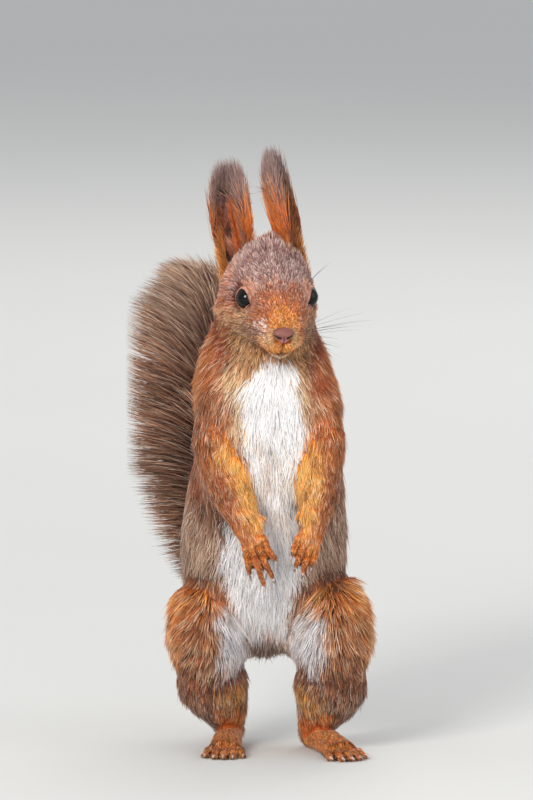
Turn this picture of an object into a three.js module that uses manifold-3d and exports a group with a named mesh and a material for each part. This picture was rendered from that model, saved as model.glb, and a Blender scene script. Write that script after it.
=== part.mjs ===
// A red squirrel standing upright on its hind feet, as a still, life-size model.
//
// Millimetres, +Z up. The animal faces -Y, and its own left side is at +X. Both hind soles
// lie on the plane Z = 0. Every surface is the outside of the coat, out to the tips of the hair.
//
// Each part is a loft: oval sections strung along a smooth line through a few stations.
// A station is [x, y, z, halfWidth, front, back]. On a loft that runs upwards, front is the
// reach towards -Y and back the reach towards +Y. On one that runs backwards, front is the
// reach upwards and back the reach downwards.

import * as THREE from "three";
import { mergeVertices } from "three/addons/utils/BufferGeometryUtils.js";
import Module from "manifold-3d";

const wasm = await Module();
wasm.setup();

// ---------------------------------------------------------------- driving dimensions

const GAP = 0.3; // clearance between neighbouring pieces
const SIDES = { right: -1, left: 1 };
const ACROSS = new THREE.Vector3(1, 0, 0); // the way a section's width runs, unless a part says so
const FRAME_SHIFT = new THREE.Vector3(8.1, -16.3, 0); // puts the middle of the whole box over the origin

// Torso, from the rump up into the head.
const TORSO = [
  [-2, 15, 46, 18, 15, 17],
  [-3, 11, 57, 28, 22, 23],
  [-3.5, 6.5, 74, 34, 27, 25],
  [-3, 2, 93, 34.5, 27, 25.5],
  [-2, -1, 112, 32.5, 24.5, 25],
  [-1.5, -2.5, 130, 30, 22, 24],
  [-1.8, -2.5, 145, 30, 20.5, 22.5],
  [-3, -2, 157, 29, 18.5, 21],
  [-3, -2, 167, 25.4, 16, 19],
  [-2.8, -2, 177, 21.4, 13, 16],
  [-2.9, -1.5, 186, 19.6, 11, 15],
];
const NECK_CUT = 6.4; // place along TORSO, in stations, where the neck leaves the trunk

// Head, in its own frame: the origin is midway between the eyes, -Y runs to the nose and
// the stations run from the nose back to the nape.
const EYE_MIDDLE = new THREE.Vector3(1.9, -17, 189);
const HEAD_YAW = 10; // degrees towards the animal's left
const HEAD_PITCH = 11; // degrees, nose down
const HEAD = [
  [0, -23.6, -10.2, 4.6, 3.8, 4.4],
  [0, -19.5, -10.2, 8.2, 6.6, 7.2],
  [0, -13.5, -9.6, 11.6, 10.4, 9.8],
  [0, -7, -8.2, 15, 15, 11.8],
  [-0.5, 0, -6.6, 17.8, 21.6, 13.6],
  [-1.6, 8, -6.2, 19.6, 28, 14.4],
  [-2.4, 16, -5.4, 19, 29, 14.8],
  [-2.4, 23, -4, 14, 21, 13],
];
const NOSE = [
  [0, -26, -9.6, 2.8, 1.6, 2.6],
  [0, -24.2, -9.2, 4.4, 3, 3.8],
  [0, -21.5, -9, 4.6, 3.2, 4],
];
const EYE_RADIUS = 4.7;
const EYE_CENTRE = [12.1, -1.2, 0.9]; // in the head's frame, on its left side
const EYE_GAZE = [0.85, -0.53, 0.06];
const SOCKET_RADIUS = 5.6; // the hollow in the coat that leaves the eye's front bare
const SOCKET_OUT = 4.3; // from the eyeball's centre to the hollow's, along the gaze

// Ears. facing is the way the mouth of the ear opens.
const EAR_WALL = 1.5;
const HOLLOW = { out: 3.2, up: 1.5, front: 5 };
const EARS = {
  right: {
    facing: [-0.62, -0.78],
    pinna: [
      [-12.6, -4, 198.4, 7.4, 4.8, 4.6],
      [-14.6, -3.5, 206.4, 9, 5.8, 4.8],
      [-16.1, -3, 215, 8.8, 5.4, 4.4],
      [-16.9, -2.5, 222.4, 6.8, 3.9, 3.4],
      [-17.3, -2, 228, 4, 2.4, 2.2],
    ],
    tuft: [
      [-16, -1.6, 217.4, 6.6, 4.6, 4.6],
      [-17.8, -1, 227.4, 9.6, 5.6, 5.6],
      [-18.4, -0.8, 236, 8, 5, 5],
      [-18.3, -0.6, 242.4, 3, 2.4, 2.4],
    ],
  },
  left: {
    facing: [0.95, -0.31],
    pinna: [
      [9.6, -4, 200.4, 6.8, 4.6, 4.4],
      [8.8, -3.5, 208.4, 8.3, 5.4, 4.8],
      [7, -3, 217.4, 8.1, 5, 4.4],
      [4.6, -2.5, 225.4, 6.4, 3.9, 3.4],
      [2.6, -2, 231, 3.8, 2.4, 2.2],
    ],
    tuft: [
      [5.2, -1.6, 219.4, 6, 4.6, 4.6],
      [3, -1, 230.4, 7.2, 5.4, 5.6],
      [1.4, -0.8, 240, 6.4, 5, 5],
      [0.4, -0.6, 247.9, 2.6, 2.3, 2.3],
    ],
  },
};

// Forelegs, from the wrist up to the shoulder.
const ELBOW = 3; // the elbow's station
const FORELEGS = {
  right: [
    [-8.4, -36, 92.8, 5.6, 4.7, 4.7],
    [-11.8, -33.4, 101.4, 7.6, 6.4, 6.4],
    [-16.6, -29, 110.4, 9.2, 8, 8],
    [-21, -21, 119.4, 9.8, 9.5, 9.5],
    [-22.6, -13, 132.4, 10.4, 11.5, 11.5],
    [-21, -8, 147.4, 10.2, 12.5, 12.5],
  ],
  left: [
    [15.9, -36, 92.8, 5.6, 4.7, 4.7],
    [17.6, -33.4, 101.8, 7.2, 6.4, 6.4],
    [19.4, -29, 111.4, 8.8, 8, 8],
    [20.6, -21, 120.4, 9.4, 9.5, 9.5],
    [21, -13, 132.4, 9.4, 11.5, 11.5],
    [18.6, -8, 147.4, 10.2, 12.5, 12.5],
  ],
};

// Forepaw, in a frame at the wrist: fingers towards -Z, back of the paw towards -Y,
// and the thumb towards +X. Stations run from the fingers up.
const PALM = [
  [0, -0.2, -5.6, 5.8, 2.7, 2.5],
  [0, 0, -2.6, 5.9, 3.4, 3.2],
  [0, 0, 0.5, 5.2, 4, 3.8],
];
// The thumb is a bare nub on the wrist's inner side.
const THUMB = [
  [5.8, 1, 4.6, 1.1, 1.1, 1.1],
  [5.6, 0.8, 6.4, 1.5, 1.4, 1.4],
  [3.8, 0.6, 8.2, 1.5, 1.4, 1.4],
];
const KNUCKLES = -4.6; // height of the finger roots
const FINGER_RADIUS = 1.55;
const FORECLAW_LENGTH = 3.4;
const FOREPAWS = {
  right: {
    wrist: [-7.6, -36.2, 92.4],
    lean: 15,
    thumb: 1,
    fingers: [
      { x: -4.5, splay: -0.9, length: 8.8 },
      { x: -1.6, splay: 0.7, length: 14.8 },
      { x: 1.3, splay: 2, length: 12.6 },
      { x: 4.4, splay: 2.2, length: 6 },
    ],
  },
  left: {
    wrist: [14.9, -36.2, 92.4],
    lean: -17,
    thumb: -1,
    fingers: [
      { x: -4.6, splay: -0.2, length: 5.2 },
      { x: -1.6, splay: -0.6, length: 9.2 },
      { x: 1.6, splay: 0, length: 7.8 },
      { x: 4.5, splay: -0.2, length: 3.2 },
    ],
  },
};

// Hind legs: shanks run from the ankle up, thighs from the knee back to the hip.
const SHANKS = {
  right: [
    [-17.6, 12, 9, 6.6, 6.5, 7],
    [-20.4, 4, 18, 11, 10.5, 11],
    [-24.4, -3, 28, 15.2, 15, 14],
    [-26, -7, 40, 13.6, 17, 16],
  ],
  left: [
    [17, 5, 9, 7.2, 7, 7.5],
    [21.2, -1, 18, 12, 11, 11],
    [24, -8, 28, 15.6, 15, 14],
    [24.2, -11, 40, 13.6, 17, 16],
  ],
};
const THIGHS = {
  right: [
    [-27.4, -18, 41, 13.6, 17, 19],
    [-26.6, -4, 48, 17.4, 26, 24],
    [-24, 10, 53, 17.5, 26, 24],
    [-19, 20, 57, 14, 19, 19],
  ],
  left: [
    [26.2, -21, 41, 14, 17, 19],
    [25.2, -8, 48, 17.4, 26, 24],
    [21.6, 8, 53, 17.5, 26, 24],
    [17, 20, 57, 14, 19, 19],
  ],
};

// Hind foot, in a frame on the floor under the heel: toes towards -Y, stations from the toes back.
const FLOOR_DIP = 0.5; // how far a foot's round underside would pass the floor before it is cut flat
const SOLE = [
  [0, -35, 3.8, 6.8, 3.6, 3.8 + FLOOR_DIP],
  [0, -25, 4.3, 6.4, 5, 4.3 + FLOOR_DIP],
  [0, -13, 4.8, 5.5, 6.4, 4.8 + FLOOR_DIP],
  [0, -3, 5.2, 5.2, 7.4, 5.2 + FLOOR_DIP],
];
const TOE_ROOTS = -33.5;
const TOE_RADIUS = 2;
const TOE_ARCH = [2.3, 2.7, 1]; // heights of a toe's root, middle and tip
const TOES = [
  { x: -5.4, splay: -2.4, length: 9.5 },
  { x: -2.8, splay: -1.1, length: 12.8 },
  { x: 0, splay: 0.1, length: 13.6 },
  { x: 2.8, splay: 1.3, length: 12.6 },
  { x: 5.4, splay: 2.6, length: 9 },
];
const HINDCLAW_LENGTH = 4.2;
const HIND_FEET = {
  right: { heel: [-16.8, 17, 0], turn: -4 },
  left: { heel: [15.4, 9, 0], turn: 21 },
};

const CLAW_WIDTHS = [0.27, 0.5, 0.8]; // half-widths at a claw's point, middle and root

// Tail, from inside the rump backwards, then up behind the back.
const TAIL = [
  [-2, 30, 48, 9, 9, 9],
  [-3, 42, 44, 13, 11, 10.5],
  [-6, 53, 51, 19, 12, 12],
  [-11, 58, 69, 26, 13, 13],
  [-17, 58, 95, 33, 14, 14],
  [-20.5, 56, 122, 37, 14.5, 14.5],
  [-21.5, 55, 150, 36.5, 14.5, 14.5],
  [-20, 58, 175, 32, 13, 13],
  [-17.5, 65, 190, 18, 10, 10],
];
const TAIL_CUTS = [3.5, 5.6]; // places along TAIL, in stations, where it is parted

// ---------------------------------------------------------------- finishes

const finish = (color, roughness) =>
  new THREE.MeshStandardMaterial({ color, roughness, metalness: 0 });
const FINISHES = {
  crown: finish(0x8d6656, 0.8),
  coat: finish(0xa4623a, 0.8),
  orange: finish(0xc06a26, 0.8),
  brush: finish(0x6b4636, 0.85),
  nose: finish(0x94584e, 0.45),
  eye: finish(0x0c0807, 0.05),
  claw: finish(0x4a3a34, 0.35),
};

// ---------------------------------------------------------------- solids

/** The closed mesh of a three.js geometry, as a solid that can be joined and cut. */
function solid(geometry) {
  geometry.deleteAttribute("normal");
  geometry.deleteAttribute("uv");
  const merged = mergeVertices(geometry, 1e-4);
  return new wasm.Manifold(
    new wasm.Mesh({
      numProp: 3,
      vertProperties: merged.attributes.position.array,
      triVerts: new Uint32Array(merged.index.array),
    }),
  );
}

const curveThrough = (points) => new THREE.CatmullRomCurve3(points, false, "catmullrom");

/** A smooth line through the stations, with the reach of its section at any place along it. */
function spine(stations) {
  return {
    line: curveThrough(stations.map(([x, y, z]) => new THREE.Vector3(x, y, z))),
    reach: curveThrough(stations.map(([, , , w, f, b]) => new THREE.Vector3(w, f, b))),
  };
}

/** The oval sections of a loft, each with its middle, its reaches and the ways they run. */
function sectionsOf(stations, { between, domes, domeRows, across, grow }) {
  const { line, reach } = spine(stations);
  const section = (t, dome, turn) => {
    const way = line.getTangent(t);
    const side = across.clone().addScaledVector(way, -across.dot(way)).normalize();
    return {
      middle: line.getPoint(t).addScaledVector(way, dome * Math.sin(turn)),
      size: reach.getPoint(t).addScalar(grow).multiplyScalar(Math.cos(turn)),
      side,
      front: new THREE.Vector3().crossVectors(side, way),
    };
  };
  const quarter = Math.PI / 2;
  const gaps = between * (stations.length - 1);
  const steps = Array.from({ length: domeRows }, (_, i) => (quarter * (i + 1)) / domeRows);
  return [
    ...steps.toReversed().map((turn) => section(0, -(domes[0] + grow), turn)),
    ...Array.from({ length: gaps + 1 }, (_, i) => section(i / gaps, 0, 0)),
    ...steps.map((turn) => section(1, domes[1] + grow, turn)),
  ];
}

/**
 * A closed body of oval sections along the stations, with a domed cap at each end.
 * It is a sphere's mesh with each row of points moved onto its section.
 */
function loft(stations, options = {}) {
  const defaults = { around: 16, between: 2, domes: [4, 4], domeRows: 2, across: ACROSS, grow: 0 };
  const settings = { ...defaults, ...options };
  const sections = sectionsOf(stations, settings);
  const { around, place } = settings;
  const geometry = new THREE.SphereGeometry(1, around, sections.length - 1);
  const position = geometry.attributes.position;
  let point = 0;
  sections.forEach(({ middle, size, side, front }, row) => {
    const isPole = row === 0 || row === sections.length - 1;
    for (let i = 0; i <= around; i++) {
      const turn = ((i % around) / around) * 2 * Math.PI;
      const depth = Math.sin(turn) > 0 ? size.y : size.z;
      const at = middle.clone();
      if (!isPole) {
        at.addScaledVector(side, size.x * Math.cos(turn));
        at.addScaledVector(front, depth * Math.sin(turn));
      }
      if (place) at.applyMatrix4(place);
      position.setXYZ(point++, at.x, at.y, at.z);
    }
  });
  return solid(geometry);
}

function ball(radius, centre, around = 14) {
  const geometry = new THREE.SphereGeometry(radius, around, Math.round(0.6 * around));
  geometry.translate(centre.x, centre.y, centre.z);
  return solid(geometry);
}

/** The half of space past a point, in the direction way. */
function halfSpace(point, way) {
  const size = 600;
  const box = new THREE.BoxGeometry(size, size, size);
  box.translate(0, 0, size / 2);
  const turn = new THREE.Quaternion().setFromUnitVectors(new THREE.Vector3(0, 0, 1), way);
  box.applyQuaternion(turn);
  box.translate(point.x, point.y, point.z);
  return solid(box);
}

/** A solid parted by a thin cut across a loft's line: [the part before the place, the part after]. */
function partAcross(whole, stations, station) {
  const { line } = spine(stations);
  const t = station / (stations.length - 1);
  const way = line.getTangent(t);
  return [-1, 1].map((sign) => {
    const outward = way.clone().multiplyScalar(sign);
    const point = line.getPoint(t).addScaledVector(outward, GAP / 2);
    return whole.intersect(halfSpace(point, outward));
  });
}

/** The largest body of a solid, so that no crumb is left where a cut grazes a surface. */
const mainBody = (whole) => whole.decompose().reduce((a, b) => (a.volume() > b.volume() ? a : b));

const joined = (solids) => solids.reduce((a, b) => a.add(b));

const squirrel = new THREE.Group();
squirrel.position.copy(FRAME_SHIFT);

/** Adds one named sub-part to the model. */
function addPart(name, shape, material) {
  const { vertProperties, triVerts } = mainBody(shape).getMesh();
  const geometry = new THREE.BufferGeometry();
  geometry.setAttribute("position", new THREE.BufferAttribute(vertProperties, 3));
  geometry.setIndex(new THREE.BufferAttribute(triVerts, 1));
  geometry.computeVertexNormals();
  const mesh = new THREE.Mesh(geometry, material);
  mesh.name = name;
  squirrel.add(mesh);
}

// ---------------------------------------------------------------- whole forms, larger by grow all round

const { degToRad } = THREE.MathUtils;
const headPlace = new THREE.Matrix4()
  .makeRotationFromEuler(new THREE.Euler(degToRad(HEAD_PITCH), 0, degToRad(HEAD_YAW), "ZXY"))
  .setPosition(EYE_MIDDLE);

const torso = (grow = 0) => loft(TORSO, { around: 18, domes: [7, 6], grow });
const headCoat = (grow = 0) => loft(HEAD, { around: 16, domes: [1.4, 5.5], place: headPlace, grow });
const foreleg = (side, grow = 0) =>
  loft(FORELEGS[side], { around: 12, between: 1, domes: [3, 9], grow });
const thigh = (side, grow = 0) => loft(THIGHS[side], { around: 12, domes: [9, 8], grow });
const shank = (side, grow = 0) => loft(SHANKS[side], { around: 12, domes: [5, 10], grow });
const tail = () => loft(TAIL, { around: 14, domes: [6, 6] });

/** A round finger or toe from its tip to its root, thinning to a blunt pad. */
function digit(tip, middle, root, radius, options) {
  const thinning = [0.74, 0.9, 1];
  const stations = [tip, middle, root].map((point, i) => {
    const r = radius * thinning[i];
    return [...point, r, r, r];
  });
  return loft(stations, { around: 6, between: 1, domes: [0.8, 0.8], domeRows: 1, ...options });
}

/** A claw that leaves a digit's tip in the direction along and bends towards curl. */
function claw(tip, along, curl, length, place) {
  const bend = 0.34; // share of the length that the point drops
  const stations = [1, 0.5, -0.12].map((share, i) => {
    const at = new THREE.Vector3(...tip)
      .addScaledVector(along, length * share)
      .addScaledVector(curl, bend * length * share * share);
    return [...at.toArray(), CLAW_WIDTHS[i], CLAW_WIDTHS[i], CLAW_WIDTHS[i]];
  });
  return loft(stations, { around: 5, between: 1, domes: [0.3, 0.3], domeRows: 1, place });
}

/** One forepaw, the nub of its thumb, and its claws. */
function forepaw(side) {
  const { wrist, lean, thumb, fingers } = FOREPAWS[side];
  const place = new THREE.Matrix4()
    .makeRotationY(-degToRad(lean))
    .setPosition(new THREE.Vector3(...wrist));
  const digits = fingers.map(({ x, splay, length }) => ({
    tip: [(x + splay) * thumb, 1.1, KNUCKLES - length],
    middle: [(x + splay * 0.45) * thumb, -0.9, KNUCKLES - length * 0.5],
    root: [x * thumb, 0.1, KNUCKLES],
  }));
  const thumbStations = THUMB.map(([x, ...rest]) => [x * thumb, ...rest]);
  const nub = loft(thumbStations, { around: 6, between: 1, domes: [0.8, 0.6], domeRows: 1, place });
  const make = (grow = 0) =>
    joined([
      loft(PALM, { around: 10, between: 1, domes: [1.2, 1], grow, place }),
      ...digits.map(({ tip, middle, root }) =>
        digit(tip, middle, root, FINGER_RADIUS, { grow, place }),
      ),
    ]);
  const along = new THREE.Vector3(0, -0.1, -0.99);
  const curl = new THREE.Vector3(0, 1, 0);
  const claws = digits.map(({ tip }) => claw(tip, along, curl, FORECLAW_LENGTH, place));
  return { make, nub, claws };
}

/** One hind foot, cut flat where it meets the floor, and its claws. */
function hindFoot(side) {
  const { heel, turn } = HIND_FEET[side];
  const place = new THREE.Matrix4()
    .makeRotationZ(degToRad(turn))
    .setPosition(new THREE.Vector3(...heel));
  const digits = TOES.map(({ x, splay, length }) =>
    [1, 0.5, 0].map((share, i) => [
      x + splay * share,
      TOE_ROOTS - length * share,
      TOE_ARCH.toReversed()[i],
    ]),
  );
  const aboveFloor = halfSpace(new THREE.Vector3(), new THREE.Vector3(0, 0, 1));
  const make = (grow = 0) =>
    joined([
      loft(SOLE, { around: 12, between: 1, domes: [2, 5], grow, place }),
      ...digits.map(([tip, middle, root]) => digit(tip, middle, root, TOE_RADIUS, { grow, place })),
    ]).intersect(aboveFloor);
  const along = new THREE.Vector3(0, -0.96, 0.28);
  const curl = new THREE.Vector3(0, 0, -0.9);
  const rise = 0.5; // the claw leaves the toe above its middle
  const claws = digits.map(([[x, y, z]]) =>
    claw([x, y, z + rise], along, curl, HINDCLAW_LENGTH, place),
  );
  return { make, claws };
}

/** A cupped ear, its wall about EAR_WALL thick, and the long tuft of hair at its tip. */
function ear({ facing: [outX, outY], pinna, tuft }) {
  const across = new THREE.Vector3(-outY, outX, 0);
  const whole = (grow = 0) =>
    loft(pinna, { around: 12, between: 1, domes: [3, 1.6], across, grow });
  const inside = pinna.map(([x, y, z, w, , back]) => [
    x + outX * HOLLOW.out,
    y + outY * HOLLOW.out,
    z + HOLLOW.up,
    w - EAR_WALL,
    HOLLOW.front,
    back - EAR_WALL + HOLLOW.out - 1,
  ]);
  const hollow = loft(inside, { around: 10, between: 1, domes: [1, 0.6], domeRows: 1, across });
  return {
    cup: whole().subtract(hollow),
    tuft: loft(tuft, { around: 10, between: 1, domes: [2, 2], across }).subtract(whole(GAP)),
  };
}

// ---------------------------------------------------------------- the parts

const [trunk, neckAndAbove] = partAcross(torso(), TORSO, NECK_CUT);
addPart("trunk", trunk, FINISHES.coat);
addPart("neck", neckAndAbove.subtract(headCoat(GAP)), FINISHES.coat);

let head = headCoat();
for (const [side, sign] of Object.entries(SIDES)) {
  const [gazeX, gazeY, gazeZ] = EYE_GAZE;
  const gaze = new THREE.Vector3(sign * gazeX, gazeY, gazeZ);
  const [x, y, z] = EYE_CENTRE;
  const centre = new THREE.Vector3(sign * x, y, z);
  const hollow = centre.clone().addScaledVector(gaze, SOCKET_OUT);
  const eyeball = centre.clone().applyMatrix4(headPlace);
  head = head
    .subtract(ball(EYE_RADIUS + GAP, eyeball, 12))
    .subtract(ball(SOCKET_RADIUS, hollow.applyMatrix4(headPlace), 10));
  addPart(`eye_${side}`, ball(EYE_RADIUS, eyeball), FINISHES.eye);
}
addPart("head", head, FINISHES.crown);
const nosePad = loft(NOSE, { around: 8, between: 1, domes: [0.8, 1], place: headPlace });
addPart("nose", nosePad.subtract(headCoat(GAP)), FINISHES.nose);

for (const side of Object.keys(SIDES)) {
  const { cup, tuft } = ear(EARS[side]);
  addPart(`ear_${side}`, cup.subtract(headCoat(GAP)), FINISHES.orange);
  addPart(`ear_tuft_${side}`, tuft, FINISHES.crown);

  const wholeForeleg = foreleg(side).subtract(torso(GAP)).subtract(headCoat(GAP));
  const [forearm, upperArm] = partAcross(wholeForeleg, FORELEGS[side], ELBOW);
  const paw = forepaw(side);
  addPart(`upper_arm_${side}`, upperArm, FINISHES.coat);
  addPart(`forearm_${side}`, forearm.add(paw.nub), FINISHES.orange);
  addPart(`forepaw_${side}`, paw.make().subtract(foreleg(side, GAP)), FINISHES.orange);
  paw.claws.forEach((shape, i) =>
    addPart(`foreclaw_${side}_${i + 1}`, shape.subtract(paw.make(GAP)), FINISHES.claw),
  );

  const foot = hindFoot(side);
  const wholeShank = shank(side).subtract(thigh(side, GAP)).subtract(torso(GAP));
  addPart(`thigh_${side}`, thigh(side).subtract(torso(GAP)), FINISHES.coat);
  addPart(`shank_${side}`, wholeShank.subtract(foot.make(GAP)), FINISHES.coat);
  addPart(`hind_foot_${side}`, foot.make(), FINISHES.orange);
  foot.claws.forEach((shape, i) =>
    addPart(`hindclaw_${side}_${i + 1}`, shape.subtract(foot.make(GAP)), FINISHES.claw),
  );
}

const freeTail = Object.keys(SIDES).reduce(
  (shape, side) => shape.subtract(thigh(side, GAP)),
  tail().subtract(torso(GAP)),
);
const [tailRoot, tailRest] = partAcross(freeTail, TAIL, TAIL_CUTS[0]);
const [tailMiddle, tailTip] = partAcross(tailRest, TAIL, TAIL_CUTS[1]);
addPart("tail_root", tailRoot, FINISHES.brush);
addPart("tail_middle", tailMiddle, FINISHES.brush);
addPart("tail_tip", tailTip, FINISHES.brush);

export default squirrel;
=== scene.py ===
"""A red squirrel that stands on its hind legs, life size: one skin, a coat of solid tufts, eyes, nose, claws.

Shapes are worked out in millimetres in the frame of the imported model, and meshes are written in metres.
"""

import logging
import math
from dataclasses import dataclass, field, replace
from enum import Enum

import bmesh
import bpy
import numpy as np
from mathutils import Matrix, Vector
from mathutils.bvhtree import BVHTree
from mathutils.kdtree import KDTree


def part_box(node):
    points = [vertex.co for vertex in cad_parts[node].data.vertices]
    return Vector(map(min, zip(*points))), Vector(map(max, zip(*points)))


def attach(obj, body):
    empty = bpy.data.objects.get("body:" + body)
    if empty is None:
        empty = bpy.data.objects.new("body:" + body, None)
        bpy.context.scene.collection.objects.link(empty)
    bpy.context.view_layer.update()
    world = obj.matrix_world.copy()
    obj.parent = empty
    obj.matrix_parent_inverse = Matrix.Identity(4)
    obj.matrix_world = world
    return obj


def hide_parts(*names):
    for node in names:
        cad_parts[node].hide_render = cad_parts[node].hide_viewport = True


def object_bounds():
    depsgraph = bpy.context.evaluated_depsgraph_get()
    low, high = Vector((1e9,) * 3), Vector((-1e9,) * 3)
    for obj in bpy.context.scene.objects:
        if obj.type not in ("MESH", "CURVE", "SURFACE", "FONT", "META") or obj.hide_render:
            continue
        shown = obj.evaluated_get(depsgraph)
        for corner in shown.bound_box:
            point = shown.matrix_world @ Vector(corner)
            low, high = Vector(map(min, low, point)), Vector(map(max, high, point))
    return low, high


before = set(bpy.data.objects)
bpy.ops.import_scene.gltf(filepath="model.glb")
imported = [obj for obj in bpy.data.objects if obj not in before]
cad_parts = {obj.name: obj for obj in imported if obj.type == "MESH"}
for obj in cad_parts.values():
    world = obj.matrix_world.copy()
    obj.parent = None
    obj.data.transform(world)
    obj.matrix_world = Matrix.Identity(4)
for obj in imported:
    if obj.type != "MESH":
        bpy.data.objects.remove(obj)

MM = 0.001
BODY = "root"
CAD_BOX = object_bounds()
LOG = logging.getLogger("squirrel")

SIDES = ("right", "left")
MIDLINE_X = 6.0
FLESH = ("trunk", "neck", "head") + tuple(
    f"{part}_{side}"
    for part in ("upper_arm", "forearm", "forepaw", "thigh", "shank", "hind_foot")
    for side in SIDES
)
TAIL_CORE = "tail_core"
PARTS = FLESH + (TAIL_CORE,)
CREST = (7.0, -22.0, 213.0)  # the raised tufts between the ears
FOOT_HEIGHT = 20  # toes lie below it, fingers above it
FULL_TURN = 2 * math.pi
LOW_BITS = 0xFFFFFFFF
HASH = (73856093, 19349663, 83492791)  # one large factor for each axis of a cell
SEED_HASH, MIX_HASH = 2654435761, 1274126177
BOX_SLACK, BOX_REACH = 1.0, 1.5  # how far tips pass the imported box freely, and at most beyond that


class Marking(Enum):
    """The colours that the coat is made of, in the order of their weights."""

    AGOUTI = 0
    WHITE = 1
    ASH = 2
    GOLD = 3
    ORANGE = 4
    RUFOUS = 5
    MAUVE = 6
    OLIVE = 7
    TAIL = 8
    # DARK is also laid as painted shade in creases, hollows, the groin and on the flank above the thigh
    DARK = 9
    PEACH = 10


class Slot(Enum):
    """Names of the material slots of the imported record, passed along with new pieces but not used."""

    COAT = "coat"
    LONG_HAIR = "long_hair"
    NOSE = "nose"
    EYE = "eye"
    CLAW = "claw"


# ---------------------------------------------------------------- numbers on points


def unit(vectors: np.ndarray) -> np.ndarray:
    """Returns the vectors scaled to length one."""
    return vectors / np.maximum(np.linalg.norm(vectors, axis=-1, keepdims=True), 1e-9)


def ramp(values: np.ndarray, start: float, end: float) -> np.ndarray:
    """Returns a smooth step from 0 at start to 1 at end; end may be the smaller."""
    t = np.clip((values - start) / (end - start), 0.0, 1.0)
    return t * t * (3.0 - 2.0 * t)


def blob(points: np.ndarray, centre: tuple, radii: tuple) -> np.ndarray:
    """Returns a soft spot that is 1 at the centre and fades over the radii.

    Args:
        points: positions, one row each.
        centre: the middle of the spot.
        radii: how far it reaches along each axis.

    Returns:
        One weight for each point.
    """
    reach = (points - np.array(centre)) / np.array(radii)
    return np.exp(-(reach**2).sum(1))


def flattened(vectors: np.ndarray, normals: np.ndarray) -> np.ndarray:
    """Returns the unit direction of each vector within the surface that has those normals."""
    return unit(vectors - normals * (vectors * normals).sum(1, keepdims=True))


def share_of(parts: np.ndarray, *names: str) -> np.ndarray:
    """Returns how much each point belongs to the parts of both sides whose names start as given."""
    return parts[:, [i for i, name in enumerate(PARTS) if name.startswith(names)]].sum(1)


def weighed(count: int, shares: dict) -> np.ndarray:
    """Returns marking weights for a number of points, all zero but for the given markings."""
    weights = np.zeros((count, len(Marking)))
    for marking, share in shares.items():
        weights[:, marking.value] = share
    return weights


def lay_over(weights: np.ndarray, marking: Marking, mask: np.ndarray) -> None:
    """Lays a colour over the marking weights that are there, as strongly as the mask says."""
    mask = np.clip(mask, 0, 1)
    weights *= (1 - mask)[:, None]
    weights[:, marking.value] += mask


def lattice_noise(points: np.ndarray, scale: float, seed: int) -> np.ndarray:
    """Returns smooth random values from 0 to 1 that vary over the given distance.

    Args:
        points: positions, one row each.
        scale: the distance between two independent values, or one for each axis.
        seed: which pattern.

    Returns:
        One value for each point.
    """
    spots = points / scale
    low = np.floor(spots).astype(np.int64)
    part = spots - low
    part = part * part * (3 - 2 * part)
    total = np.zeros(len(points))
    for corner in np.ndindex(2, 2, 2):
        cell = low + np.array(corner)
        code = cell[:, 0] * HASH[0] ^ cell[:, 1] * HASH[1] ^ cell[:, 2] * HASH[2] ^ seed * SEED_HASH
        code = ((code ^ (code >> 13)) * MIX_HASH) & LOW_BITS
        value = ((code ^ (code >> 16)) & LOW_BITS) / (LOW_BITS + 1.0)
        share = np.prod(np.where(np.array(corner) == 1, part, 1 - part), axis=1)
        total += value * share
    return total


@dataclass(frozen=True)
class Path:
    """A smooth line through stations, each a place and any further numbers that vary along it."""

    stations: tuple
    steps: int = 12

    BATCH = 20000  # points measured at once, to bound the memory

    def table(self) -> np.ndarray:
        """Returns the stations with as many steps filled in between each two."""
        given = np.array(self.stations, float)
        ends = np.vstack([2 * given[0] - given[1], given, 2 * given[-1] - given[-2]])
        rows = []
        for i in range(1, len(ends) - 2):
            a, b, c, d = ends[i - 1 : i + 3]
            for t in np.linspace(0, 1, self.steps, endpoint=False):
                rows.append(0.5 * (2 * b + (c - a) * t + (2 * a - 5 * b + 4 * c - d) * t**2
                                   + (3 * b - a - 3 * c + d) * t**3))
        return np.array(rows + [given[-1]])

    def at(self, shares: np.ndarray) -> np.ndarray:
        """Returns the table's rows at the given shares, 0 to 1, of the line."""
        table = self.table()
        places = np.clip(shares, 0, 1) * (len(table) - 1)
        low = np.minimum(places.astype(int), len(table) - 2)
        part = (places - low)[:, None]
        return table[low] * (1 - part) + table[low + 1] * part

    def headings(self, shares: np.ndarray) -> np.ndarray:
        """Returns the line's unit directions at the given shares."""
        step = 0.5 / len(self.table())
        return unit(self.at(shares + step)[:, :3] - self.at(shares - step)[:, :3])

    def nearest(self, points: np.ndarray) -> np.ndarray:
        """Returns for each point the share of the line that is nearest to it."""
        table = self.table()[:, :3]
        shares = np.empty(len(points))
        for start in range(0, len(points), self.BATCH):
            some = slice(start, start + self.BATCH)
            gaps = ((points[some, None, :] - table[None]) ** 2).sum(2)
            shares[some] = gaps.argmin(1) / (len(table) - 1)
        return shares


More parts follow.
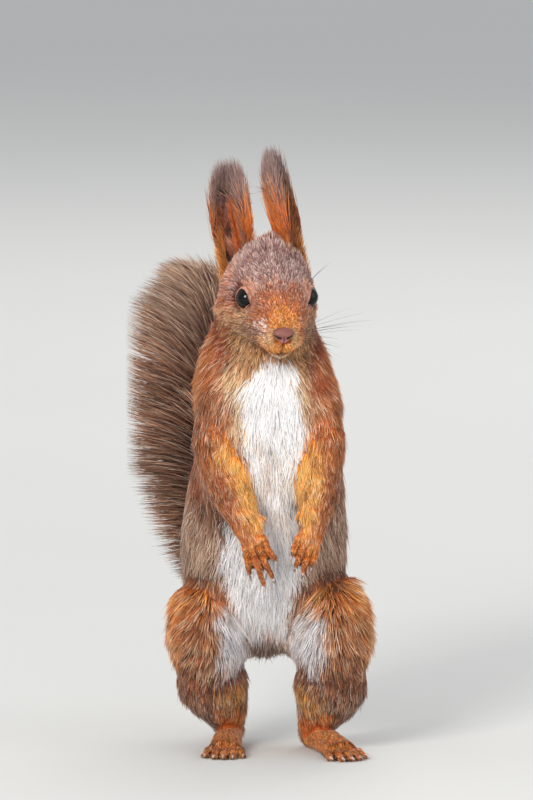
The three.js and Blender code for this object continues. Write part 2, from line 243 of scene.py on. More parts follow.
@dataclass
class Surface:
    """A mesh of triangles in millimetres, with named values on its points."""

    points: np.ndarray
    triangles: np.ndarray
    values: dict = field(default_factory=dict)

    def crosses(self) -> np.ndarray:
        """Returns for each triangle its normal, as long as twice its area."""
        corner = self.points[self.triangles]
        return np.cross(corner[:, 1] - corner[:, 0], corner[:, 2] - corner[:, 0])

    def normals(self) -> np.ndarray:
        """Returns the unit normals at the points."""
        face = self.crosses()
        total = np.zeros_like(self.points)
        for axis in range(3):
            for k in range(3):
                total[:, axis] += np.bincount(self.triangles[:, k], face[:, axis], len(self.points))
        return unit(total)

    def areas(self) -> np.ndarray:
        """Returns the area of each triangle."""
        return 0.5 * np.linalg.norm(self.crosses(), axis=1)

    def smoothed(self, values: np.ndarray, times: int, keep: np.ndarray | None = None) -> np.ndarray:
        """Averages values over neighbouring points.

        Args:
            values: one row for each point.
            times: how many rounds.
            keep: how much each point holds on to its own value, 0 to 1.

        Returns:
            The averaged values.
        """
        pairs = np.vstack([self.triangles[:, (0, 1)], self.triangles[:, (1, 2)], self.triangles[:, (2, 0)]])
        count = len(self.points)
        held = np.zeros(count) if keep is None else keep
        pairs = pairs[(held[pairs] < 1).any(1)]
        near = np.maximum(np.bincount(pairs.ravel(), minlength=count), 1)
        flat = values.reshape(count, -1).astype(float)
        for _ in range(times):
            for k in range(flat.shape[1]):
                column = flat[:, k]
                mean = (np.bincount(pairs[:, 0], column[pairs[:, 1]], count)
                        + np.bincount(pairs[:, 1], column[pairs[:, 0]], count)) / near
                flat[:, k] = column * held + (0.5 * column + 0.5 * mean) * (1 - held)
        return flat.reshape(values.shape)


def joined(surfaces: list) -> Surface:
    """Returns one surface that holds all the given ones, with the values that the first one has."""
    offsets = np.cumsum([0] + [len(s.points) for s in surfaces[:-1]])
    values = {name: np.concatenate([s.values[name] for s in surfaces]) for name in surfaces[0].values}
    return Surface(np.vstack([s.points for s in surfaces]),
                   np.vstack([s.triangles + o for s, o in zip(surfaces, offsets)]), values)


def quads(a: np.ndarray, b: np.ndarray, c: np.ndarray, d: np.ndarray) -> np.ndarray:
    """Returns two triangles for each row of four corners."""
    return np.vstack([np.stack([a, b, c], 1), np.stack([a, c, d], 1)])


def lofted(rings: np.ndarray) -> Surface:
    """Skins a row of rings of points into a surface closed at both ends by a point in the middle.

    Args:
        rings: rings by points by 3, each ring closed on itself.

    Returns:
        The surface, facing out where the rings run anticlockwise about their row.
    """
    count, around = rings.shape[:2]
    grid = np.arange(count * around).reshape(count, around)
    ahead = np.roll(grid, -1, axis=1)
    sides = quads(grid[:-1].ravel(), ahead[:-1].ravel(), ahead[1:].ravel(), grid[1:].ravel())
    first, last = np.full(around, count * around), np.full(around, count * around + 1)
    caps = [np.stack([first, ahead[0], grid[0]], 1), np.stack([last, grid[-1], ahead[-1]], 1)]
    points = np.vstack([rings.reshape(-1, 3), rings[0].mean(0), rings[-1].mean(0)])
    return Surface(points, np.vstack([sides, *caps]))


def looped(rings: np.ndarray) -> Surface:
    """Returns the closed surface of rings whose last one joins its first, as on a tyre."""
    count, around = rings.shape[:2]
    grid = np.arange(count * around).reshape(count, around)
    ahead, onward = np.roll(grid, -1, axis=1), np.roll(grid, -1, axis=0)
    both = np.roll(ahead, -1, axis=0)
    return Surface(rings.reshape(-1, 3), quads(grid.ravel(), ahead.ravel(), both.ravel(), onward.ravel()))


def tube(spine: np.ndarray, headings: np.ndarray, radii: np.ndarray, beside: tuple, around: int) -> Surface:
    """Builds a closed round tube.

    Args:
        spine: the points of its middle line.
        headings: the line's directions there.
        radii: its radii there.
        beside: a direction that the line never takes.
        around: how many corners its section has.

    Returns:
        The tube.
    """
    side = unit(np.cross(headings, np.array(beside)))
    other = np.cross(headings, side)
    angles = np.linspace(0, FULL_TURN, around, endpoint=False)
    rings = spine[:, None] + radii[:, None, None] * (np.cos(angles)[None, :, None] * side[:, None]
                                                     + np.sin(angles)[None, :, None] * other[:, None])
    return outward_facing(lofted(rings))


def globe(rows: int) -> Surface:
    """Returns a ball of radius one about the origin, with its poles on Z."""
    tilts = np.linspace(0.02, math.pi - 0.02, rows)[:, None]
    spins = np.linspace(0, FULL_TURN, rows * 2, endpoint=False)[None]
    rings = [np.sin(tilts) * np.cos(spins), np.sin(tilts) * np.sin(spins), np.cos(tilts) + 0 * spins]
    return outward_facing(lofted(np.stack(rings, -1)))


def outward_facing(surface: Surface) -> Surface:
    """Returns the surface with its triangles turned, if need be, so that it holds a positive volume."""
    corner = surface.points[surface.triangles] - surface.points.mean(0)
    if (corner[:, 0] * np.cross(corner[:, 1], corner[:, 2])).sum() < 0:
        surface.triangles = surface.triangles[:, ::-1].copy()
    return surface


# ---------------------------------------------------------------- pieces in Blender


def kept_near(points: np.ndarray) -> np.ndarray:
    """Returns the points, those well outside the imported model's box drawn back towards it."""
    low, high = (np.array(corner) / MM for corner in CAD_BOX)
    past = points - np.clip(points, low - BOX_SLACK, high + BOX_SLACK)
    return points - past + np.sign(past) * BOX_REACH * (1 - np.exp(-np.abs(past) / BOX_REACH))


def to_mesh(name: str, surface: Surface) -> bpy.types.Mesh:
    """Writes a surface as a Blender mesh with its values as attributes of the points.

    Args:
        name: the mesh's name.
        surface: the surface in millimetres; values with one number a point become attributes.

    Returns:
        The mesh, in metres, shaded smooth.
    """
    mesh = bpy.data.meshes.new(name)
    count = len(surface.triangles)
    mesh.vertices.add(len(surface.points))
    mesh.vertices.foreach_set("co", (surface.points * MM).astype(np.float32).ravel())
    mesh.loops.add(count * 3)
    mesh.loops.foreach_set("vertex_index", surface.triangles.astype(np.int32).ravel())
    mesh.polygons.add(count)
    mesh.polygons.foreach_set("loop_start", np.arange(0, count * 3, 3, dtype=np.int32))
    mesh.polygons.foreach_set("use_smooth", np.ones(count, bool))
    mesh.update(calc_edges=True)
    for key, values in surface.values.items():
        if values.ndim == 1:
            layer = mesh.attributes.new(key, "FLOAT", "POINT")
            layer.data.foreach_set("value", values.astype(np.float32))
        elif key == "custom_normal":
            layer = mesh.attributes.new(key, "FLOAT_VECTOR", "POINT")
            layer.data.foreach_set("vector", values.astype(np.float32).ravel())
    return mesh


def add_piece(mesh: bpy.types.Mesh, material: bpy.types.Material) -> bpy.types.Object:
    """Puts a mesh in the scene as a piece of the squirrel.

    Args:
        mesh: the mesh, whose name the piece takes.
        material: its finish.

    Returns:
        The object, riding on the body.
    """
    piece = in_scene(mesh.name, mesh)
    mesh.materials.append(material)
    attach(piece, BODY)
    LOG.info("%s: %d triangles", piece.name, len(mesh.polygons))
    return piece


def mesh_surface(mesh: bpy.types.Mesh) -> Surface:
    """Returns a Blender mesh as a surface in millimetres."""
    mesh.calc_loop_triangles()
    points = np.empty(len(mesh.vertices) * 3, np.float32)
    mesh.vertices.foreach_get("co", points)
    triangles = np.empty(len(mesh.loop_triangles) * 3, np.int32)
    mesh.loop_triangles.foreach_get("vertices", triangles)
    return Surface(points.reshape(-1, 3).astype(float) / MM, triangles.reshape(-1, 3))


def in_scene(name: str, data: bpy.types.ID) -> bpy.types.Object:
    """Returns a new object, linked to the scene, that shows a mesh, a light or a camera."""
    made = bpy.data.objects.new(name, data)
    bpy.context.scene.collection.objects.link(made)
    return made


def modified(mesh: bpy.types.Mesh, kind: str, **settings: object) -> Surface:
    """Returns a mesh as a surface after one modifier of a kind with its settings."""
    whole = in_scene(mesh.name, mesh)
    modifier = whole.modifiers.new(mesh.name, kind)
    for name, value in settings.items():
        setattr(modifier, name, value)
    result = bpy.data.meshes.new_from_object(whole.evaluated_get(bpy.context.evaluated_depsgraph_get()))
    bpy.data.objects.remove(whole)
    return mesh_surface(result)


def node_middle(name: str) -> np.ndarray:
    """Returns the middle of a node's box in millimetres."""
    low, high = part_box(name)
    return np.array((low + high) / 2) / MM


# ---------------------------------------------------------------- where the body's parts are


@dataclass(frozen=True)
class HeadPose:
    """The head's own frame: nose towards -Y, crown towards +Z, its middle between the eyes."""

    middle: tuple = (10.0, -33.3, 189.0)
    turn_deg: float = 10.0
    pitch_deg: float = 11.0

    def matrix(self) -> np.ndarray:
        """Returns the rotation from the head's frame to the model's."""
        turn, pitch = math.radians(self.turn_deg), math.radians(self.pitch_deg)
        about_z = np.array([[math.cos(turn), -math.sin(turn), 0],
                            [math.sin(turn), math.cos(turn), 0],
                            [0, 0, 1]])
        about_x = np.array([[1, 0, 0],
                            [0, math.cos(pitch), -math.sin(pitch)],
                            [0, math.sin(pitch), math.cos(pitch)]])
        return about_z @ about_x

    def placed(self, points: np.ndarray) -> np.ndarray:
        """Returns points of the head's frame in the model's frame."""
        return points @ self.matrix().T + np.array(self.middle)

    def local(self, points: np.ndarray) -> np.ndarray:
        """Returns points of the model's frame in the head's frame."""
        return (points - np.array(self.middle)) @ self.matrix()

    def turned(self, vectors: np.ndarray) -> np.ndarray:
        """Returns directions of the head's frame in the model's frame."""
        return vectors @ self.matrix().T


HEAD = HeadPose()
NOSE_TIP = (-1.2, -26.0, -8.0)


@dataclass(frozen=True)
class Build:
    """The middle lines of limbs and tail."""

    arms: tuple = (
        Path(((-12.9, -24.3, 147.4), (-14.5, -29.3, 132.4), (-12.9, -37.3, 119.4), (-8.5, -45.3, 110.4),
              (-3.7, -49.7, 101.4), (-0.3, -52.3, 92.8), (4.6, -52.0, 76.0))),
        Path(((26.7, -24.3, 147.4), (29.1, -29.3, 132.4), (28.7, -37.3, 120.4), (27.5, -45.3, 111.4),
              (25.7, -49.7, 101.8), (24.0, -52.3, 92.8), (18.8, -52.0, 76.0))),
    )
    legs: tuple = (
        Path(((-10.9, 3.7, 57), (-18.5, -20.3, 48), (-17.9, -23.3, 38), (-16.3, -19.3, 28),
              (-12.3, -12.3, 18), (-9.5, -4.3, 9))),
        Path(((25.1, 3.7, 57), (33.3, -24.3, 48), (32.3, -27.3, 38), (32.1, -24.3, 28),
              (29.3, -17.3, 18), (25.1, -11.3, 9))),
    )
    tail: Path = Path(((6.1, 13.7, 48, 9, 9), (5.1, 25.7, 44, 13, 11), (2.1, 36.7, 51, 19, 12),
                       (-2.9, 41.7, 69, 26, 13), (-8.9, 41.7, 95, 33, 14), (-12.4, 39.7, 122, 38, 14.5),
                       (-13.6, 38.7, 150, 38, 14.5), (-12.6, 41.7, 175, 36, 13), (-10.4, 47.0, 190, 26, 11)))
    tail_core_radius: float = 4.0

    def core_radii(self, shares: np.ndarray) -> np.ndarray:
        """Returns how thick the tail's fleshy core is along the tail."""
        return self.tail_core_radius * (1.25 - 0.75 * shares)


BUILD = Build()


@dataclass(frozen=True)
class Paw:
    """A paw's flat frame, with the line of each digit: where its root, its tip and its end are."""

    origin: tuple
    turn_deg: float
    digits: tuple
    roots: float
    hind: bool = False

    HALF_WIDTH, HALF_THICKNESS = 14, 12
    BEHIND, AHEAD = 12, 20
    FAR = -99.0
    NUB, NUB_RADII = (6.4, 0.8, -6.0), (2.6, 3.2, 3.4)

    def axes(self) -> tuple:
        """Returns the directions across the paw, down it to the digits' ends, and out of its plane."""
        turn = math.radians(self.turn_deg)
        cosine, sine = math.cos(turn), math.sin(turn)
        if self.hind:
            across, down = np.array([cosine, sine, 0]), np.array([sine, -cosine, 0])
        else:
            across, down = np.array([cosine, 0, sine]), np.array([sine, 0, -cosine])
        return across, down, np.cross(across, down)

    def features(self, points: np.ndarray) -> tuple:
        """Finds the creases between the digits and the nub of the thumb.

        Args:
            points: positions, one row each.

        Returns:
            How near each point is to a crease, how far down the paw it is, and how near it is to the nub.
        """
        x, down, lift = ((points - np.array(self.origin)) @ np.array(self.axes()).T).T
        near = (np.abs(x) < self.HALF_WIDTH) & (np.abs(lift) < self.HALF_THICKNESS)
        near = near & (down > self.roots - self.BEHIND) & (down < self.roots + self.AHEAD)
        gaps = np.array([np.abs(x - np.interp(down, (self.roots, end), (root, tip)))
                         + 6 * ramp(down, end - 0.5, end + 0.8) for root, tip, end in self.digits])
        first, second = np.sort(gaps, axis=0)[:2]
        crease = ramp(second - first, 1.0, 0.1) * ramp(down, self.roots - 5.5, self.roots - 1.5) * near
        nub = (math.copysign(self.NUB[0], self.turn_deg), *self.NUB[1:])
        thumb = 0 * x if self.hind else blob(np.stack([x, lift, down], 1), nub, self.NUB_RADII)
        return crease, np.where(near, down - self.roots, self.FAR), thumb


TOES = ((-5.4, -7.8, 43.0), (-2.8, -3.9, 46.3), (0.0, 0.1, 47.1), (2.8, 4.1, 46.1), (5.4, 8.0, 42.5))
HANDS = (
    Paw((0.5, -52.5, 92.4), 15.0,
        ((-4.5, -5.4, 13.4), (-1.6, -0.9, 19.4), (1.3, 3.3, 17.2), (4.4, 6.6, 10.6)), 4.6),
    Paw((23.0, -52.5, 92.4), -17.0,
        ((4.6, 4.8, 9.8), (1.6, 2.2, 13.8), (-1.6, -1.6, 12.4), (-4.5, -4.3, 7.8)), 4.6),
)
FEET = (Paw((-8.7, 0.7, 0.0), -4.0, TOES, 33.5, True), Paw((23.5, -7.3, 0.0), 21.0, TOES, 33.5, True))


def paw_features(points: np.ndarray) -> tuple:
    """Returns the creases, the distance past the digits' roots and the thumb's nubs, over all four paws."""
    found = [paw.features(points) for paw in HANDS + FEET]
    return tuple(np.max([each[k] for each in found], axis=0) for k in range(3))


def nearest_limb(points: np.ndarray, paths: tuple) -> tuple:
    """Finds where points lie along the limb of their own side.

    Args:
        points: positions, one row each.
        paths: the right and the left limb's line.

    Returns:
        The nearest places on the line, its headings there, and -1 or 1 for the side.
    """
    places, headings = np.zeros_like(points), np.zeros_like(points)
    side = np.where(points[:, 0] < MIDLINE_X + 2.0, -1.0, 1.0)
    for path, sign in zip(paths, (-1.0, 1.0)):
        mine = side == sign
        shares = path.nearest(points[mine])
        places[mine] = path.at(shares)
        headings[mine] = path.headings(shares)
    return places, headings, side


# ---------------------------------------------------------------- markings


@dataclass
class Markings:
    """Where each colour of the coat lies, worked out from a point's place and the part it is on."""

    points: np.ndarray
    parts: np.ndarray
    weights: np.ndarray = None
    ragged: np.ndarray = None
    cloudy: np.ndarray = None

    bib_heights: tuple = (40, 47, 56, 65, 75, 88, 100, 119, 140, 158, 164, 168)
    bib_right: tuple = (6, 2, -4, -8, -10.5, -11, -9, -4, -3, -1, 2.0, 5)
    bib_left: tuple = (9, 12, 15, 17, 18, 19, 20, 20, 20.5, 17.0, 15, 13)

    def part(self, *names: str) -> np.ndarray:
        """Returns how much each point belongs to the named parts of both sides."""
        return share_of(self.parts, *names)

    def paint(self, marking: Marking, mask: np.ndarray) -> None:
        """Lays a colour over what is there, as strongly as the mask says."""
        lay_over(self.weights, marking, mask)

    def solve(self) -> np.ndarray:
        """Returns the weight of each marking at each point; they add up to one."""
        self.weights = weighed(len(self.points), {Marking.AGOUTI: 1})
        self.ragged = lattice_noise(self.points, np.array([1.6, 1.6, 7.0]), 3) - 0.5
        self.cloudy = lattice_noise(self.points, 7.0, 5) - 0.5
        self.paint_trunk()
        self.paint_legs()
        self.paint_arms()
        self.paint_head()
        self.paint(Marking.TAIL, self.part(TAIL_CORE) * 1.2)
        return self.weights

    def paint_trunk(self) -> None:
        """Lays the back, the shoulders, the bib and the belly, with painted shade on the lower bib, on the
        flank above the thigh and between the legs.
        """
        x, y, z = self.points.T
        rag = self.ragged * 4.5 + self.cloudy * 4
        torso = self.part("trunk", "neck", "upper_arm", "head")
        spine = ramp(y, 0, 14) * ramp(z, 60, 90)
        self.paint(Marking.RUFOUS, 0.45 * spine * torso)
        off = np.abs(x - MIDLINE_X - 0.8) + rag
        shoulder = ramp(z + rag, 104, 122) * ramp(y, 10, -8)
        self.paint(Marking.RUFOUS, shoulder * torso * ramp(off, 13, 19))
        throat = ramp(z + rag, 124, 146) * ramp(y, -8, -22)
        self.paint(Marking.OLIVE, 0.9 * throat * torso * ramp(off + rag, 20, 10))
        self.paint(Marking.RUFOUS, 0.85 * ramp(z, 146, 166) * torso * ramp(off, 12, 18))
        right = np.interp(z, self.bib_heights, self.bib_right)
        left = np.interp(z, self.bib_heights, self.bib_left)
        front = ramp(y, -12, -19)
        bib = ramp(x + rag * 0.8, right - 1.5, right + 2.0) * ramp(x + rag * 0.8, left + 1.5, left - 2.0)
        bib *= front * ramp(z, 36, 45) * ramp(z + rag * 0.5, 168, 163)
        self.paint(Marking.WHITE, bib * self.part("trunk", "neck", "thigh", "upper_arm"))
        # painted shade: the white of the lower bib and belly between the arms is greyed with ASH and warmed a
        # little with OLIVE
        shade = ramp(z + rag * 2, 144, 120) * bib * self.part("trunk")
        self.paint(Marking.ASH, 0.68 * shade)
        self.paint(Marking.AGOUTI, 0.3 * blob(self.points, (MIDLINE_X - 1, -40, 126), (2.2, 14, 14)))
        self.paint(Marking.OLIVE, 0.2 * shade * ramp(z, 92, 106))
        side = ramp(np.abs(x - MIDLINE_X) + rag, 12, 18) * ramp(y, 6, -8) * self.part("trunk")
        self.paint(Marking.DARK, 0.15 * side)
        # painted shadow: a dark band across the flank where the thigh's top meets it
        self.paint(Marking.DARK, 0.4 * side * ramp(z + rag, 86, 79) * ramp(z + rag, 72, 76))
        for marking, strength in ((Marking.RUFOUS, 0.8), (Marking.OLIVE, 0.3)):
            self.paint(marking, strength * side * ramp(z + rag, 79, 71))
        # painted shade between the legs: the groin is laid grey-brown, and dark where it lies deepest
        painted_groin_shade = blob(self.points, (7, -24, 47), (11, 26, 9)) * self.part("trunk", "thigh")
        self.paint(Marking.AGOUTI, 0.85 * ramp(painted_groin_shade + self.ragged * 0.3, 0.3, 0.7))
        self.paint(Marking.DARK, 0.6 * ramp(painted_groin_shade + self.ragged * 0.3, 0.5, 0.9))
        self.paint(Marking.WHITE, 0.8 * blob(self.points, (6.5, -30, 65), (5, 8, 6)))
        self.paint(Marking.PEACH, 0.9 * blob(self.points, (6.5, -30, 54.5), (2.8, 9, 3.6)))

    def paint_legs(self) -> None:
        """Lays the thighs, the shanks and the feet."""
        x, y, z = self.points.T
        thigh, shank, foot = self.part("thigh"), self.part("shank"), self.part("hind_foot")
        places, _, side = nearest_limb(self.points, BUILD.legs)
        outward = (x - places[:, 0]) * side + self.ragged * 5 + self.cloudy * 4
        leg = np.clip(thigh + shank, 0, 1)
        self.paint(Marking.RUFOUS, 0.9 * leg * ramp(z, 20, 34))
        self.paint(Marking.ORANGE, 0.6 * leg * ramp(outward, 2, 14) * ramp(z, 34, 48) * ramp(z, 78, 62))
        self.paint(Marking.OLIVE, 0.22 * leg * ramp(y, -14, -26) * ramp(z, 34, 48) * ramp(z, 66, 56))
        for marking in (Marking.ORANGE, Marking.GOLD):
            self.paint(marking, 0.25 * leg * ramp(z, 56, 66))
        self.paint(Marking.AGOUTI, 0.22 * leg * ramp(z + self.ragged * 5, 66, 78))
        self.paint(Marking.TAIL, 0.55 * leg * ramp(z + self.cloudy * 12, 60, 28))
        self.paint(Marking.DARK, 0.22 * leg * ramp(z + self.cloudy * 12, 58, 32))
        self.paint(Marking.GOLD, 0.35 * shank * ramp(outward, 1, -6) * ramp(z, 36, 26))
        self.paint(Marking.AGOUTI, 0.3 * leg * ramp(y + self.cloudy * 8, 0, 18))
        inner = ramp(outward, -1.0, -7.5) * ramp(z, 68, 58) * ramp(z + self.cloudy * 12, 31, 46)
        self.paint(Marking.ASH, 0.95 * leg * inner)
        ankle = shank * ramp(z + self.ragged * 5, 25, 13) * ramp(outward, 7, -3)
        self.paint(Marking.ORANGE, np.clip(foot * 1.25 * ramp(z, 17, 11) + ankle, 0, 1))

    def paint_arms(self) -> None:
        """Lays the arms and the hands, with painted shade on the right upper arm and in the creases between
        the digits.
        """
        x, y, z = self.points.T
        upper, lower, paw = self.part("upper_arm"), self.part("forearm"), self.part("forepaw")
        foot = self.part("hind_foot")
        places, _, side = nearest_limb(self.points, BUILD.arms)
        outward = (x - places[:, 0]) * side + self.ragged * 4 + self.cloudy * 3
        self.paint(Marking.RUFOUS, np.clip(upper + lower, 0, 1) * ramp(z, 152, 140))
        self.paint(Marking.ORANGE, 0.25 * upper * ramp(z, 150, 138))
        # painted shade: only the right upper arm is darkened
        self.paint(Marking.DARK, 0.24 * upper * (side < 0))
        self.paint(Marking.DARK, 0.2 * ramp(outward, 1, 7) * np.clip(upper + lower, 0, 1))
        inner = ramp(outward, 3.5, -5.0) * np.clip(lower + upper * ramp(z, 142, 126), 0, 1)
        inner = inner * ramp(y, -20, -30)
        self.paint(Marking.GOLD, inner)
        self.paint(Marking.ORANGE, 0.8 * np.clip(lower + paw, 0, 1) * ramp(z + self.ragged * 5, 103, 90))
        self.paint(Marking.ORANGE, paw * 0.9)
        crease, depth, thumb = paw_features(self.points)
        self.paint(Marking.GOLD, 0.25 * paw)
        for marking in (Marking.GOLD, Marking.ORANGE):
            self.paint(marking, 0.4 * foot * ramp(z, 17, 11))
        self.paint(Marking.RUFOUS, 0.45 * ramp(depth, 0, 8) * paw)
        # painted shade in the creases between the digits of the hands and feet, kept off the thumb's nub
        deep = 0.6 * crease * np.clip((paw + foot) * 1.5, 0, 1)
        self.paint(Marking.DARK, deep * (1 - ramp(thumb, 0.02, 0.2)))
        self.paint(Marking.PEACH, 0.9 * ramp(thumb, 0.3, 0.6))

    def paint_head(self) -> None:
        """Lays the crown, the snout, the cheeks, the lips and the pale spots of the face, with painted shade
        in the mouth line and the cleft under the nose.
        """
        local = HEAD.local(self.points)
        x, y, z = local.T
        head = np.clip(self.part("head") * 1.3, 0, 1)
        rag = self.ragged * 2.5 + self.cloudy * 3
        self.paint(Marking.MAUVE, head * ramp(z + rag, -9, 0))
        self.paint(Marking.OLIVE, 0.9 * head * ramp(z + rag, -1.5, -6))
        self.paint(Marking.RUFOUS, 0.5 * head * ramp(z + rag, 1, -3) * ramp(z + rag, -16, -10))
        for marking, strength in ((Marking.RUFOUS, 0.8), (Marking.ORANGE, 0.4)):
            self.paint(marking, strength * blob(self.points, CREST, (5, 6, 5)))
        across = np.abs(x + 0.6) + rag
        bridge = 0.75 * head * ramp(y + rag, 1, -9) * ramp(z + rag, 11, 3)
        self.paint(Marking.RUFOUS, bridge * ramp(across, 14, 9))
        snout = ramp(y + rag, -4, -19) * ramp(across, 10.5, 3.0)
        self.paint(Marking.ORANGE, 0.7 * head * snout)
        self.paint(Marking.GOLD, 0.6 * head * snout * ramp(y + rag, -10, -19) * ramp(across, 7.0, 1.0))
        for side in (-1, 1):
            lip = blob(local, (side * 7.0 - 1.2, -19.5, -13.2), (6, 5.5, 3.4))
            self.paint(Marking.GOLD, 0.9 * head * ramp(lip, 0.1, 0.7))
            self.paint(Marking.PEACH, 0.25 * head * ramp(lip, 0.3, 0.9))
            streak = ramp(lattice_noise(local, np.array([2.4, 2.4, 0.8]), 13) + 0.3 * rag, 0.3, 0.7)
            patch = blob(local, (side * 9.0 - 0.5, -17.4, -7.8), (3.8, 4.6, 4.4))
            pale = (0.36 - 0.22 * side) * head * ramp(patch, 0.1, 0.7)
            self.paint(Marking.WHITE, pale * (0.4 + 0.6 * streak))
            rim = blob(local, (side * 5.0 - 1.2, -23.2, -9.0), (2.6, 3.4, 5.0))
            self.paint(Marking.OLIVE, 0.75 * head * ramp(rim, 0.2, 0.7))
            self.paint(Marking.AGOUTI, 0.6 * head * blob(local, (side * 13.5, -9, -8), (4, 5, 4)))
            self.paint(Marking.DARK, 0.25 * head * blob(local, (side * 16.5, 5, 1), (3, 4, 7)))
            self.paint(Marking.ORANGE, 0.5 * head * blob(local, (side * 18, 8, 4), (5, 6, 12)))
            ring = blob(local, (side * 12.6, -3.4, 3.2), (6.6, 6.2, 6.8))
            self.paint(Marking.PEACH, 0.8 * head * ramp(ring, 0.45, 0.75))
        chin = blob(local, (-1.2, -17.5, -20.0), (9, 7, 3.0))
        self.paint(Marking.OLIVE, 0.9 * head * ramp(chin, 0.2, 0.6))
        self.paint(Marking.WHITE, 0.35 * head * ramp(chin, 0.3, 0.8))
        # painted shade in the mouth line and the cleft under the nose
        self.paint(Marking.DARK, 0.85 * head * Face().creases(local))


# ---------------------------------------------------------------- finishes


def linear(colour: tuple) -> tuple:
    """Returns a colour given as 0 to 255 steps of a screen as linear light, with alpha 1."""
    steps = [c / 255 for c in colour]
    return tuple(c / 12.92 if c <= 0.04045 else ((c + 0.055) / 1.055) ** 2.4 for c in steps) + (1.0,)


@dataclass(frozen=True)
class HairTint:
    """The colours of a hair from its root to its tip."""

    root: tuple
    shaft: tuple
    tip: tuple


HAIR_TINTS = {
    Marking.AGOUTI: HairTint((44, 28, 22), (122, 81, 62), (204, 168, 142)),
    Marking.WHITE: HairTint((200, 194, 192), (230, 226, 224), (248, 246, 245)),
    Marking.ASH: HairTint((150, 142, 142), (206, 199, 200), (238, 234, 235)),
    Marking.GOLD: HairTint((150, 70, 16), (238, 144, 44), (255, 208, 124)),
    Marking.ORANGE: HairTint((84, 30, 6), (196, 84, 18), (244, 158, 80)),
    Marking.RUFOUS: HairTint((46, 17, 8), (140, 62, 24), (206, 128, 74)),
    Marking.MAUVE: HairTint((40, 24, 24), (126, 82, 77), (220, 182, 177)),
    Marking.OLIVE: HairTint((84, 54, 30), (184, 132, 86), (242, 214, 164)),
    Marking.TAIL: HairTint((36, 20, 15), (90, 52, 38), (176, 126, 98)),
    # DARK also serves as painted shade in creases, hollows, the groin and on the flank above the thigh
    Marking.DARK: HairTint((20, 14, 13), (46, 34, 30), (96, 74, 64)),
    Marking.PEACH: HairTint((178, 114, 92), (222, 154, 128), (240, 188, 160)),
}


HAIR_VALUES = ("Along", "Vary", "Tick")


class NodeSheet:
    """A sheet of shader nodes being wired up."""

    def __init__(self, tree: bpy.types.NodeTree) -> None:
        """Starts on an empty tree."""
        self.tree = tree

    def add(self, kind: str, **settings: object) -> bpy.types.Node:
        """Places a node of a kind with its settings."""
        node = self.tree.nodes.new("ShaderNode" + kind)
        for name, value in settings.items():
            setattr(node, name, value)
        return node

    def join(self, source: bpy.types.NodeSocket, target: object) -> None:
        """Wires an output to an input, or sets the input where the source is a plain value."""
        if isinstance(source, bpy.types.NodeSocket):
            self.tree.links.new(source, target)
        else:
            target.default_value = source

    def math(self, operation: str, *values: object) -> bpy.types.NodeSocket:
        """Returns the result of a sum on sockets or numbers."""
        node = self.add("Math", operation=operation)
        for value, socket in zip(values, node.inputs):
            self.join(value, socket)
        return node.outputs[0]

    def mix(self, share: object, first: object, second: object, blend: str = "MIX") -> bpy.types.NodeSocket:
        """Returns two colours mixed by a share."""
        node = self.add("Mix", data_type="RGBA", blend_type=blend)
        self.join(share, node.inputs["Factor"])
        colours = [s for s in node.inputs if s.type == "RGBA"]
        self.join(first, colours[0])
        self.join(second, colours[1])
        return next(s for s in node.outputs if s.type == "RGBA")

    def ramp(self, value: object, stops: tuple) -> bpy.types.NodeSocket:
        """Returns a colour read off stops, each a place from 0 to 1 and a colour."""
        node = self.add("ValToRGB")
        elements = node.color_ramp.elements
        while len(elements) < len(stops):
            elements.new(0.5)
        for element, (place, colour) in zip(elements, stops):
            element.position = place
            element.color = colour
        self.join(value, node.inputs[0])
        return node.outputs["Color"]

    def span(self, *numbers: object) -> bpy.types.NodeSocket:
        """Returns a value, given first, carried from one range to another, each given as two ends."""
        node = self.add("MapRange")
        for number, socket in zip(numbers, node.inputs):
            self.join(number, socket)
        return node.outputs[0]

    def scaled(self, colour: bpy.types.NodeSocket, share: object) -> bpy.types.NodeSocket:
        """Returns a colour made stronger or weaker."""
        node = self.add("VectorMath", operation="SCALE")
        self.join(colour, node.inputs[0])
        self.join(share, node.inputs["Scale"])
        return node.outputs[0]

    def noise(self, scale: float, detail: float = 2.0, stretch: tuple = (1, 1, 1)) -> bpy.types.NodeSocket:
        """Returns a noise value in the object's own space, stretched along its axes."""
        place = self.add("TexCoord").outputs["Object"]
        mapping = self.add("Mapping")
        mapping.inputs["Scale"].default_value = stretch
        self.join(place, mapping.inputs["Vector"])
        node = self.add("TexNoise")
        node.inputs["Scale"].default_value = scale
        node.inputs["Detail"].default_value = detail
        self.join(mapping.outputs[0], node.inputs["Vector"])
        return node.outputs[0]

    def attribute(self, name: str) -> bpy.types.NodeSocket:
        """Returns a named value of the mesh's points."""
        return self.add("Attribute", attribute_name=name).outputs["Fac"]

    def bump(self, height: object, strength: float, distance: float) -> bpy.types.NodeSocket:
        """Returns a normal raised by a height."""
        node = self.add("Bump")
        node.inputs["Strength"].default_value = strength
        node.inputs["Distance"].default_value = distance
        self.join(height, node.inputs["Height"])
        return node.outputs[0]


def new_group(name: str, inputs: tuple, outputs: tuple) -> tuple:
    """Starts a shader node group.

    Args:
        name: the group's name.
        inputs: pairs of a socket's name and its kind, such as Float or Color.
        outputs: the same for what comes out.

    Returns:
        The group, its sheet, its input sockets by name and its output node.
    """
    tree = bpy.data.node_groups.new(name, "ShaderNodeTree")
    for label, kind in inputs:
        tree.interface.new_socket(label, in_out="INPUT", socket_type="NodeSocket" + kind)
    for label, kind in outputs:
        tree.interface.new_socket(label, in_out="OUTPUT", socket_type="NodeSocket" + kind)
    source, target = tree.nodes.new("NodeGroupInput"), tree.nodes.new("NodeGroupOutput")
    return tree, NodeSheet(tree), source.outputs, target


